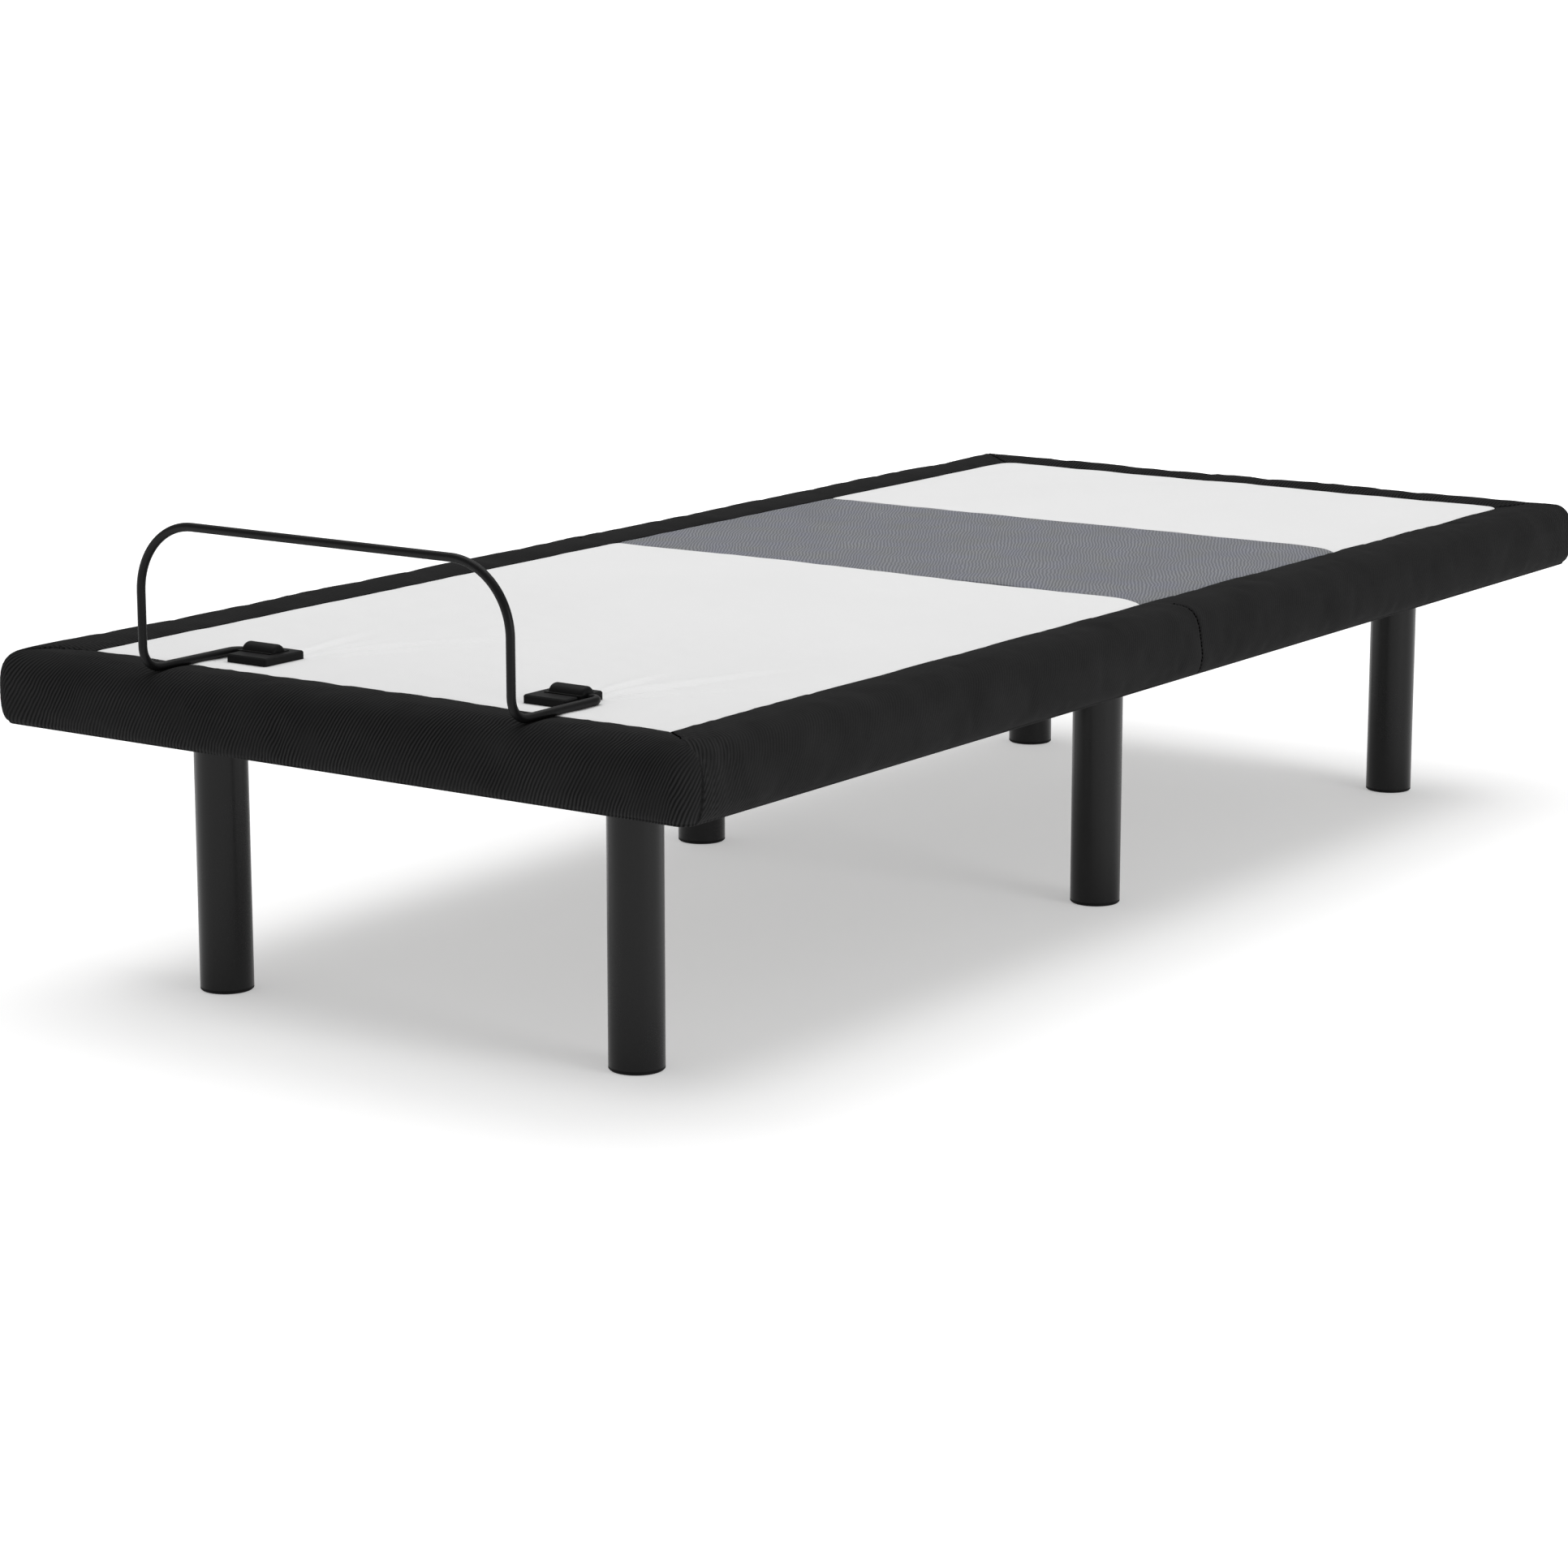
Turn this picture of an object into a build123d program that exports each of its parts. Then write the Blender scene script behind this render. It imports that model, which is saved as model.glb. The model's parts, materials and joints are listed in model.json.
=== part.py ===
from build123d import *
import os
from math import asin, cos, radians, sin

os.makedirs("parts", exist_ok=True)

# Adjustable bed base, twin XL. Millimetres.
# +X points to the head end, +Y to the left as seen from the foot end, +Z up.
# The origin is on the floor, under the middle of the deck.

# Every cutter reaches this far past the face it opens
CUT = 1.0

# Overall size
LENGTH = 2020.0
WIDTH = 946.0
DECK_TOP = 382.0
SKIRT_BOTTOM = 306.0

# Padded border round the deck: a D-shaped edge with its fullest point part way up
BORDER_FULLEST_Z = 345.0
BORDER_UNDERCUT = 11.0
BORDER_THICK = 47.7
CORNER_RADIUS = 24.0

# Deck panels: board, then foam
BOARD_BOTTOM = 357.0
BOARD_TOP = 367.0
BOARD_LENGTH = 1924.0
BOARD_WIDTH = 850.0

# Fold lines of the deck and the gap that each layer leaves on either side of them
HINGE_Z = 347.0
HIP_X = 250.0
THIGH_X = -100.0
KNEE_X = -470.0
HIP_BOARD_GAP = 12.5
HIP_SOFT_GAP = 22.0
THIGH_BOARD_GAP = 9.0
THIGH_SOFT_GAP = 14.5
KNEE_BOARD_GAP = 2.0
KNEE_BORDER_GAP = 16.5

# Lifting angles
BACK_LIFT_DEG = 60.0
THIGH_LIFT_DEG = 40.0

# Legs: a short riser on top of a long lower leg
LEG_X = {"foot": -848.0, "middle": 61.5, "head": 848.0}
LEG_Y = {"foot": 285.5, "middle": 294.0, "head": 285.5}
LEG_RADIUS = 30.0
LEG_WALL = 1.6
LEG_END_PLATE = 5.0
LEG_TOP = 305.0
LOWER_LEG_TOP = 203.0
GLIDE_HEIGHT = 4.0
GLIDE_PLUG = 14.0
STUD_RADIUS = 5.0
STUD_REACH = 15.0
LEG_PLATE_SIZE = 80.0
LEG_PLATE_THICK = 4.0
LEG_PLATE_CORNER = 8.0
GLIDE_CHAMFER = 1.5

# Fixed frame
RAIL_Y = 291.0
RAIL_WIDTH = 40.0
RAIL_HEIGHT = 25.0
RAIL_WALL = 2.0
RAIL_BOTTOM = LEG_TOP + LEG_PLATE_THICK
RAIL_TOP = RAIL_BOTTOM + RAIL_HEIGHT
RAIL_END_X = 945.0
SPLICE_X = 10.0
SPLICE_LENGTH = 140.0
SPLICE_THICK = 4.0
SPLICE_EDGE_GAP = 2.0
SPLICE_BOLT_RADIUS = 4.0
SPLICE_HEAD_RADIUS = 7.2
SPLICE_HEAD_HEIGHT = 4.0
SPLICE_NUT_RADIUS = 6.8
SPLICE_NUT_HEIGHT = 6.5
SPLICE_BOLT_END = 8.0
SPLICE_BOLT_X = (-45.0, -15.0, 35.0, 65.0)
CROSS_TUBE_SIZE = 25.0
CROSS_TUBE_X = (-932.5, -470.0, -200.0, 100.0, 345.0, 650.0, 932.5)
BUMPER_RADIUS = 9.0
BUMPER_X = (-880.0, -600.0, -250.0, 420.0, 700.0, 900.0)

# Moving panel frames
TUBE_SIZE = 20.0
TUBE_WALL = 1.5
TUBE_BOTTOM = BOARD_BOTTOM - TUBE_SIZE
BARREL_WIDTH = 18.0
BARREL_RADIUS = 10.0
NECK_LENGTH = 20.0
EAR_THICK = 5.0
EAR_RADIUS = 9.5
HINGE_PIN_RADIUS = 6.0
HINGE_PIN_END = 2.0
SEAT_BAR_GAP = 25.0
BACK_CROSS_TUBE_X = 600.0
KNEE_CROSS_TUBE_OFFSET = 50.0
CALF_CROSS_TUBE_OFFSET = 40.0
RUN_CLEARANCE = 0.05
FREE_GAP = 0.3

# Cranks, push rods and actuators
CRANK_RADIUS = 110.0
CRANK_PLATE_THICK = 6.0
CRANK_PLATE_WIDTH = 30.0
CRANK_PLATE_OFFSET = 15.0
CRANK_PIN_RADIUS = 8.0
CRANK_PIN_END = 2.0
CRANK_ROOT = 40.0
SLOT_SIDE_CLEARANCE = 1.3
SLOT_END_CLEARANCE = 1.0
YOKE_WALL = 8.0
YOKE_WIDTH = 20.0
YOKE_CORNER = 8.0
ROD_RADIUS = 10.0
ROD_BORE_RADIUS = 7.0
SCREW_RADIUS = 6.0
SCREW_END_GAP = 20.0
BACK_ROD_REACH = 98.0
BACK_ROD_GUIDED = 65.0
LEG_ROD_REACH = 105.0
LEG_ROD_GUIDED = 105.0
ROD_END_WALL = 8.0
GUIDE_RADIUS = 16.0
BACK_DRIVE_Y = -100.0
LEG_DRIVE_Y = 100.0
HOUSING_LENGTH = 100.0
HOUSING_WIDTH = 76.0
HOUSING_HEIGHT = 74.0
HOUSING_CORNER = 14.0
MOTOR_RADIUS = 28.0
MOTOR_LENGTH = 90.0
MOTOR_OFFSET = 12.0
MOTOR_CORNER = 4.0
HANGER_THICK = 4.0
HANGER_WIDTH = 30.0
HANGER_PIN_RADIUS = 5.0
HANGER_PIN_END = 3.0
HANGER_PIN_DROP = 20.0
HANGER_BELOW_PIN = 12.0

# Support links that keep the calf panel level
LINK_X = -530.0
LINK_Z = 323.0
LINK_Y = 240.0
LINK_LENGTH = THIGH_X - KNEE_X
LINK_THICK = 6.0
LINK_RADIUS = 11.0
LINK_PIN_RADIUS = 5.0
LINK_PIN_END = 1.0
LINK_LUG_THICK = 4.0
LINK_LUG_GAP = 3.0

# Control box under the head half
BOX_X = 650.0
BOX_LENGTH = 180.0
BOX_WIDTH = 140.0
BOX_HEIGHT = 45.0
BOX_CORNER = 8.0
INLET_DEPTH = 16.0
INLET_WIDTH = 34.0
INLET_HEIGHT = 26.0
INLET_SOCKET_WIDTH = 22.0
INLET_SOCKET_HEIGHT = 13.0
INLET_SOCKET_DEPTH = 12.0

# Mattress retainer bar and its brackets
BAR_RADIUS = 4.75
BAR_HALF_WIDTH = 249.5
BAR_PIVOT_X = -857.0
BAR_PIVOT_Z = 388.0
BAR_LOOP_X = -1003.5
BAR_TOP_Z = 547.5
BAR_INNER_Y = 192.0
BAR_END_BEND = 12.0
BAR_LOW_BEND = 25.0
BAR_TOP_BEND = 75.0
BRACKET_X = -861.5
BRACKET_Y = 204.0
BRACKET_SIZE_X = 64.0
BRACKET_SIZE_Y = 56.0
BRACKET_BASE = 9.0
BRACKET_CORNER = 3.0
BRACKET_CHAMFER = 1.5
BRACKET_DOME_Y = 211.0
BRACKET_DOME_RADIUS = 12.0
BRACKET_DOME_LENGTH = 47.0
BRACKET_DOME_CORNER = 5.0
BRACKET_SHOULDER = 15.0
BRACKET_SHOULDER_RISE = 1.0
BRACKET_SCREW_RADIUS = 2.5
BRACKET_SCREW_OFFSET = 22.0
BRACKET_SCREW_COVER = 3.0
BRACKET_SCREW_HEAD = 2.5

SIDES = {"left": 1, "right": -1}


def block(x0, x1, y0, y1, z0, z1):
    """A box given by its two limits along each axis."""
    middle = Pos((x0 + x1) / 2, (y0 + y1) / 2, (z0 + z1) / 2)
    return middle * Box(abs(x1 - x0), abs(y1 - y0), abs(z1 - z0))


def rod_x(x0, x1, y, z, radius):
    """A round bar along X."""
    return Pos((x0 + x1) / 2, y, z) * Rot(0, 90, 0) * Cylinder(radius, abs(x1 - x0))


def rod_y(x, y0, y1, z, radius):
    """A round bar along Y."""
    return Pos(x, (y0 + y1) / 2, z) * Rot(90, 0, 0) * Cylinder(radius, abs(y1 - y0))


def rod_z(x, y, z0, z1, radius):
    """A round bar along Z."""
    return Pos(x, y, (z0 + z1) / 2) * Cylinder(radius, abs(z1 - z0))


def box_tube_x(x0, x1, y, z, width, height, wall):
    """A rectangular tube along X, centred on y and z."""
    half_w = width / 2
    half_h = height / 2
    outer = block(x0, x1, y - half_w, y + half_w, z - half_h, z + half_h)
    inner = block(
        x0 - CUT, x1 + CUT, y - half_w + wall, y + half_w - wall, z - half_h + wall, z + half_h - wall
    )
    return outer - inner


def box_tube_y(x, y0, y1, z, size, wall):
    """A square tube along Y, centred on x and z."""
    half = size / 2
    outer = block(x - half, x + half, y0, y1, z - half, z + half)
    inner = block(
        x - half + wall, x + half - wall, y0 - CUT, y1 + CUT, z - half + wall, z + half - wall
    )
    return outer - inner


def flat_bar(x0, z0, x1, z1, y, width, thick):
    """A flat bar in the XZ plane with rounded ends, from one pivot to the other."""
    start = Vector(x0, 0, z0)
    run = Vector(x1, 0, z1) - start
    angle = -Vector(1, 0, 0).get_signed_angle(run, Vector(0, -1, 0))
    bar = Box(run.length, thick, width)
    for end in (-run.length / 2, run.length / 2):
        bar += Pos(end, 0, 0) * Rot(90, 0, 0) * Cylinder(width / 2, thick)
    middle = start + run * 0.5
    return Pos(middle.X, y, middle.Z) * Rot(0, angle, 0) * bar


def save(name, *shapes):
    """Write one node. Several shapes stay separate solids in it."""
    solids = []
    for shape in shapes:
        solids += shape.solids()
    whole = solids[0] if len(solids) == 1 else Compound(children=solids)
    whole.label = name
    export_step(whole, f"parts/{name}.step")


# ---------------------------------------------------------------- legs


def lower_leg(x, y):
    """Closed at the top by a plate with a hole for the stud, open below for the glide."""
    leg = rod_z(x, y, GLIDE_HEIGHT, LOWER_LEG_TOP, LEG_RADIUS)
    leg -= rod_z(x, y, GLIDE_HEIGHT, LOWER_LEG_TOP - LEG_END_PLATE, LEG_RADIUS - LEG_WALL)
    return leg - rod_z(x, y, LOWER_LEG_TOP - 2 * LEG_END_PLATE, LOWER_LEG_TOP + CUT, STUD_RADIUS)


def leg_riser(x, y):
    """A short closed tube with a stud hole at each end."""
    riser = rod_z(x, y, LOWER_LEG_TOP, LEG_TOP, LEG_RADIUS)
    riser -= rod_z(
        x, y, LOWER_LEG_TOP + LEG_END_PLATE, LEG_TOP - LEG_END_PLATE, LEG_RADIUS - LEG_WALL
    )
    return riser - rod_z(x, y, LOWER_LEG_TOP - CUT, LEG_TOP + CUT, STUD_RADIUS)


def leg_glide(x, y):
    """A plastic foot that plugs into the leg."""
    foot = rod_z(x, y, 0, GLIDE_HEIGHT, LEG_RADIUS)
    foot = chamfer(foot.edges().group_by(Axis.Z)[0], GLIDE_CHAMFER)
    return foot + rod_z(x, y, GLIDE_HEIGHT, GLIDE_HEIGHT + GLIDE_PLUG, LEG_RADIUS - LEG_WALL)


def leg_plate(x, y):
    """The plate under the rail that the riser's stud screws into."""
    half = LEG_PLATE_SIZE / 2
    plate = block(x - half, x + half, y - half, y + half, LEG_TOP, RAIL_BOTTOM)
    plate = fillet(plate.edges().filter_by(Axis.Z), LEG_PLATE_CORNER)
    return plate - rod_z(x, y, LEG_TOP - CUT, RAIL_BOTTOM + CUT, STUD_RADIUS)


def make_legs():
    risers = []
    studs = []
    glides = []
    plates = []
    for end, x in LEG_X.items():
        for side, sign in SIDES.items():
            y = sign * LEG_Y[end]
            save(f"lower_leg_{end}_{side}", lower_leg(x, y))
            risers.append(leg_riser(x, y))
            studs.append(rod_z(x, y, LOWER_LEG_TOP - STUD_REACH, LOWER_LEG_TOP + STUD_REACH, STUD_RADIUS))
            studs.append(rod_z(x, y, LEG_TOP - STUD_REACH, RAIL_BOTTOM, STUD_RADIUS))
            glides.append(leg_glide(x, y))
            plates.append(leg_plate(x, y))
    save("leg_risers", *risers)
    save("leg_studs", *studs)
    save("leg_glides", *glides)
    save("leg_plates", *plates)


# ---------------------------------------------------------------- fixed frame


def side_rail(x0, x1, y):
    """Half of one side rail, drilled for the splice bolts."""
    z = (RAIL_BOTTOM + RAIL_TOP) / 2
    rail = box_tube_x(x0, x1, y, z, RAIL_WIDTH, RAIL_HEIGHT, RAIL_WALL)
    for bolt_x in SPLICE_BOLT_X:
        rail -= rod_y(bolt_x, y - RAIL_WIDTH, y + RAIL_WIDTH, z, SPLICE_BOLT_RADIUS)
    return rail


def splice_plate(sign):
    """A flat plate outside the two half rails, over their joint."""
    face = RAIL_Y + RAIL_WIDTH / 2
    outside = face + SPLICE_THICK
    x0 = SPLICE_X - SPLICE_LENGTH / 2
    z0 = RAIL_BOTTOM + SPLICE_EDGE_GAP
    z1 = RAIL_TOP - SPLICE_EDGE_GAP
    plate = block(x0, x0 + SPLICE_LENGTH, sign * face, sign * outside, z0, z1)
    for bolt_x in SPLICE_BOLT_X:
        plate -= rod_y(
            bolt_x, sign * (face - CUT), sign * (outside + CUT), (z0 + z1) / 2, SPLICE_BOLT_RADIUS
        )
    return plate


def splice_bolt(x, sign):
    """A bolt through rail and plate, with its head outside and its nut inside."""
    z = (RAIL_BOTTOM + RAIL_TOP) / 2
    outside = RAIL_Y + RAIL_WIDTH / 2 + SPLICE_THICK
    inside = RAIL_Y - RAIL_WIDTH / 2
    bolt = rod_y(x, sign * (inside - SPLICE_BOLT_END), sign * outside, z, SPLICE_BOLT_RADIUS)
    bolt += rod_y(x, sign * outside, sign * (outside + SPLICE_HEAD_HEIGHT), z, SPLICE_HEAD_RADIUS)
    return bolt + rod_y(x, sign * (inside - SPLICE_NUT_HEIGHT), sign * inside, z, SPLICE_NUT_RADIUS)


def hinge_ear(x, y):
    """An upright plate on a rail, round at the top, that holds a hinge pin."""
    y0 = y - EAR_THICK / 2
    y1 = y + EAR_THICK / 2
    ear = block(x - EAR_RADIUS, x + EAR_RADIUS, y0, y1, RAIL_TOP, HINGE_Z)
    ear += rod_y(x, y0, y1, HINGE_Z, EAR_RADIUS)
    return ear - rod_y(x, y0 - CUT, y1 + CUT, HINGE_Z, HINGE_PIN_RADIUS)


def hinge_pin(x, sign):
    """A pin through both ears of one hinge."""
    inner = RAIL_Y - TUBE_SIZE / 2 - EAR_THICK - HINGE_PIN_END
    outer = RAIL_Y + TUBE_SIZE / 2 + EAR_THICK + HINGE_PIN_END
    return rod_y(x, sign * inner, sign * outer, HINGE_Z, HINGE_PIN_RADIUS)


def ear_positions(sign):
    """Middles of the inner and the outer ear of a hinge, along Y."""
    offset = TUBE_SIZE / 2 + EAR_THICK / 2
    return sign * (RAIL_Y - offset), sign * (RAIL_Y + offset)


def link_lug(x, y, z_top):
    """A plate that holds one end of a support link's pin."""
    y0 = y - LINK_LUG_THICK / 2
    y1 = y + LINK_LUG_THICK / 2
    lug = block(x - LINK_RADIUS, x + LINK_RADIUS, y0, y1, LINK_Z, z_top)
    lug += rod_y(x, y0, y1, LINK_Z, LINK_RADIUS)
    return lug - rod_y(x, y - LINK_LUG_THICK, y + LINK_LUG_THICK, LINK_Z, LINK_PIN_RADIUS)


def link_bracket(sign, offset):
    """A plate from the cross tube to the support link's lower pivot."""
    y = sign * LINK_Y + offset
    y0 = y - LINK_LUG_THICK / 2
    y1 = y + LINK_LUG_THICK / 2
    face = CROSS_TUBE_X[1] - CROSS_TUBE_SIZE / 2
    plate = block(LINK_X, face, y0, y1, LINK_Z - LINK_RADIUS, LINK_Z + LINK_RADIUS)
    plate += rod_y(LINK_X, y0, y1, LINK_Z, LINK_RADIUS)
    return plate - rod_y(LINK_X, y - LINK_LUG_THICK, y + LINK_LUG_THICK, LINK_Z, LINK_PIN_RADIUS)


def link_pin(x, sign):
    """A pin through two lugs and the support link between them."""
    reach = LINK_THICK / 2 + LINK_LUG_GAP + LINK_LUG_THICK + LINK_PIN_END
    return rod_y(x, sign * LINK_Y - reach, sign * LINK_Y + reach, LINK_Z, LINK_PIN_RADIUS)


def make_fixed_frame():
    lug_offset = LINK_THICK / 2 + LINK_LUG_GAP + LINK_LUG_THICK / 2
    inner_face = RAIL_Y - RAIL_WIDTH / 2
    cross_z = (RAIL_BOTTOM + RAIL_TOP) / 2
    for side, sign in SIDES.items():
        save(f"side_rail_foot_{side}", side_rail(-RAIL_END_X, SPLICE_X, sign * RAIL_Y))
        save(f"side_rail_head_{side}", side_rail(SPLICE_X, RAIL_END_X, sign * RAIL_Y))
    tubes = [
        box_tube_y(x, -inner_face, inner_face, cross_z, CROSS_TUBE_SIZE, RAIL_WALL)
        for x in CROSS_TUBE_X
    ]
    save("frame_cross_tubes", *tubes)
    save("splice_plates", *[splice_plate(sign) for sign in SIDES.values()])
    save("splice_bolts", *[splice_bolt(x, sign) for x in SPLICE_BOLT_X for sign in SIDES.values()])
    ears = [
        hinge_ear(x, y)
        for x in (HIP_X, THIGH_X)
        for sign in SIDES.values()
        for y in ear_positions(sign)
    ]
    save("hinge_brackets", *ears)
    save("hinge_pins", *[hinge_pin(x, sign) for x in (HIP_X, THIGH_X) for sign in SIDES.values()])
    lugs = [link_bracket(sign, offset) for sign in SIDES.values() for offset in (-lug_offset, lug_offset)]
    save("link_brackets", *lugs, *[link_pin(LINK_X, sign) for sign in SIDES.values()])
    bumpers = [
        rod_z(x, sign * RAIL_Y, RAIL_TOP, TUBE_BOTTOM - FREE_GAP, BUMPER_RADIUS)
        for x in BUMPER_X
        for sign in SIDES.values()
    ]
    save("rest_bumpers", *bumpers)


# ---------------------------------------------------------------- padded border


def edge_outline(half):
    """The D-shaped outline of the whole deck across one direction, symmetric about Z."""
    top_radius = DECK_TOP - BORDER_FULLEST_Z
    drop = BORDER_FULLEST_Z - SKIRT_BOTTOM
    low_radius = (BORDER_UNDERCUT**2 + drop**2) / (2 * BORDER_UNDERCUT)
    turn = sin(radians(45))
    low_half_angle = asin(drop / low_radius) / 2
    top_mid = (half - top_radius * (1 - turn), BORDER_FULLEST_Z + top_radius * turn)
    low_mid_x = half - low_radius * (1 - cos(low_half_angle))
    low_mid = (low_mid_x, BORDER_FULLEST_Z - low_radius * sin(low_half_angle))
    with BuildSketch() as sketch:
        with BuildLine():
            Polyline((0, DECK_TOP), (half - top_radius, DECK_TOP))
            ThreePointArc((half - top_radius, DECK_TOP), top_mid, (half, BORDER_FULLEST_Z))
            ThreePointArc((half, BORDER_FULLEST_Z), low_mid, (half - BORDER_UNDERCUT, SKIRT_BOTTOM))
            Polyline((half - BORDER_UNDERCUT, SKIRT_BOTTOM), (0, SKIRT_BOTTOM), (0, DECK_TOP))
        make_face()
        mirror(about=Plane.YZ)
    return sketch.sketch


def deck_envelope():
    """The outside of the whole padded deck, rounded all round."""
    along_x = extrude(Plane.YZ * edge_outline(WIDTH / 2), LENGTH / 2, both=True)
    along_y = extrude(Plane.XZ * edge_outline(LENGTH / 2), WIDTH / 2, both=True)
    plan = extrude(RectangleRounded(LENGTH, WIDTH, CORNER_RADIUS), DECK_TOP)
    return along_x & along_y & plan


def border_side(envelope, x0, x1, sign):
    """A stretch of the border along one long side."""
    inner = WIDTH / 2 - BORDER_THICK
    return envelope & block(x0, x1, sign * inner, sign * WIDTH, 0, DECK_TOP)


def border_end(envelope, direction):
    """The border across the head or the foot, corners included."""
    inner = LENGTH / 2 - BORDER_THICK
    return envelope & block(direction * inner, direction * LENGTH, -WIDTH, WIDTH, 0, DECK_TOP)


def make_borders():
    envelope = deck_envelope()
    end = LENGTH / 2 - BORDER_THICK
    back = [border_side(envelope, HIP_X + HIP_SOFT_GAP, end, sign) for sign in SIDES.values()]
    save("back_border", *back, border_end(envelope, 1))
    seat = [
        border_side(envelope, THIGH_X + THIGH_SOFT_GAP, HIP_X - HIP_SOFT_GAP, sign) for sign in SIDES.values()
    ]
    save("seat_border", *seat)
    thigh = [
        border_side(envelope, KNEE_X + KNEE_BORDER_GAP, THIGH_X - THIGH_SOFT_GAP, sign)
        for sign in SIDES.values()
    ]
    save("thigh_border", *thigh)
    calf = [border_side(envelope, -end, KNEE_X - KNEE_BORDER_GAP, sign) for sign in SIDES.values()]
    save("calf_border", *calf, border_end(envelope, -1))


# ---------------------------------------------------------------- deck panels


def panel_board(x0, x1):
    """Plywood board of one panel."""
    half = BOARD_WIDTH / 2
    return block(x0, x1, -half, half, BOARD_BOTTOM, BOARD_TOP)


def panel_foam(x0, x1):
    """Foam sheet of one panel, with its cover."""
    half = BOARD_WIDTH / 2
    return block(x0, x1, -half, half, BOARD_TOP, DECK_TOP)


def hinged_side_tube(axis_x, x_end, sign, ears_at=None):
    """A side tube that turns on a pin at axis_x, and may carry ears for the next hinge."""
    y = sign * RAIL_Y
    way = 1 if x_end > axis_x else -1
    tube_start = axis_x + way * NECK_LENGTH
    x0 = min(tube_start, x_end)
    x1 = max(tube_start, x_end)
    tube = box_tube_x(x0, x1, y, HINGE_Z, TUBE_SIZE, TUBE_SIZE, TUBE_WALL)
    half = BARREL_WIDTH / 2
    half_z = TUBE_SIZE / 2
    neck_end = tube_start + way * NECK_LENGTH / 2
    inside = half_z - TUBE_WALL
    tube += block(axis_x, tube_start, y - half, y + half, HINGE_Z - half_z, HINGE_Z + half_z)
    tube += block(tube_start, neck_end, y - inside, y + inside, HINGE_Z - inside, HINGE_Z + inside)
    tube += rod_y(axis_x, y - half, y + half, HINGE_Z, BARREL_RADIUS)
    tube -= rod_y(axis_x, y - half - CUT, y + half + CUT, HINGE_Z, HINGE_PIN_RADIUS + RUN_CLEARANCE)
    if ears_at is not None:
        root_x = x_end - way * NECK_LENGTH
        for ear_y in ear_positions(sign):
            y0 = ear_y - EAR_THICK / 2
            y1 = ear_y + EAR_THICK / 2
            ear = block(ears_at, root_x, y0, y1, HINGE_Z - EAR_RADIUS, HINGE_Z + EAR_RADIUS)
            ear += rod_y(ears_at, y0, y1, HINGE_Z, EAR_RADIUS)
            tube += ear - rod_y(ears_at, y0 - CUT, y1 + CUT, HINGE_Z, HINGE_PIN_RADIUS)
    return tube


def panel_cross_tubes(*positions):
    """Cross tubes between the two side tubes of a panel."""
    inner_face = RAIL_Y - TUBE_SIZE / 2
    return [box_tube_y(x, -inner_face, inner_face, HINGE_Z, TUBE_SIZE, TUBE_WALL) for x in positions]


def make_seat():
    start = THIGH_X + THIGH_BOARD_GAP
    stop = HIP_X - HIP_BOARD_GAP
    save("seat_board", panel_board(start, stop))
    save("seat_foam", panel_foam(THIGH_X + THIGH_SOFT_GAP, HIP_X - HIP_SOFT_GAP))
    x0 = THIGH_X + SEAT_BAR_GAP
    x1 = HIP_X - SEAT_BAR_GAP
    half = TUBE_SIZE / 2
    bars = [
        block(x0, x1, sign * RAIL_Y - half, sign * RAIL_Y + half, RAIL_TOP, BOARD_BOTTOM)
        for sign in SIDES.values()
    ]
    save("seat_side_bars", *bars)


def make_back_panel():
    sides = [hinged_side_tube(HIP_X, RAIL_END_X, sign) for sign in SIDES.values()]
    crosses = panel_cross_tubes(HIP_X + CRANK_ROOT, BACK_CROSS_TUBE_X, RAIL_END_X - TUBE_SIZE / 2)
    save("back_frame_tubes", *sides, *crosses)
    save("back_board", panel_board(HIP_X + HIP_BOARD_GAP, BOARD_LENGTH / 2))
    save("back_foam", panel_foam(HIP_X + HIP_SOFT_GAP, BOARD_LENGTH / 2))


def make_thigh_panel():
    end = KNEE_X + NECK_LENGTH
    sides = [hinged_side_tube(THIGH_X, end, sign, ears_at=KNEE_X) for sign in SIDES.values()]
    crosses = panel_cross_tubes(THIGH_X - CRANK_ROOT, KNEE_X + KNEE_CROSS_TUBE_OFFSET)
    save("thigh_frame_tubes", *sides, *crosses)
    save("thigh_board", panel_board(KNEE_X + KNEE_BOARD_GAP, THIGH_X - THIGH_BOARD_GAP))
    save("thigh_foam", panel_foam(KNEE_X + KNEE_BOARD_GAP, THIGH_X - THIGH_SOFT_GAP))
    save("knee_hinge_pins", *[hinge_pin(KNEE_X, sign) for sign in SIDES.values()])


def make_calf_panel():
    lug_offset = LINK_THICK / 2 + LINK_LUG_GAP + LINK_LUG_THICK / 2
    link_end = LINK_X - LINK_LENGTH
    board = panel_board(-BOARD_LENGTH / 2, KNEE_X - KNEE_BOARD_GAP)
    foam = panel_foam(-BOARD_LENGTH / 2, KNEE_X - KNEE_BOARD_GAP)
    for x, y in bracket_screw_places():
        hole = rod_z(x, y, 0, DECK_TOP + CUT, BRACKET_SCREW_RADIUS)
        board -= hole
        foam -= hole
    save("calf_board", board)
    save("calf_foam", foam)
    sides = [hinged_side_tube(KNEE_X, -RAIL_END_X, sign) for sign in SIDES.values()]
    crosses = panel_cross_tubes(KNEE_X - CALF_CROSS_TUBE_OFFSET, link_end)
    save("calf_frame_tubes", *sides, *crosses)
    lugs = [
        link_lug(link_end, sign * LINK_Y + offset, TUBE_BOTTOM)
        for sign in SIDES.values()
        for offset in (-lug_offset, lug_offset)
    ]
    save("calf_link_lugs", *lugs, *[link_pin(link_end, sign) for sign in SIDES.values()])


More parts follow.
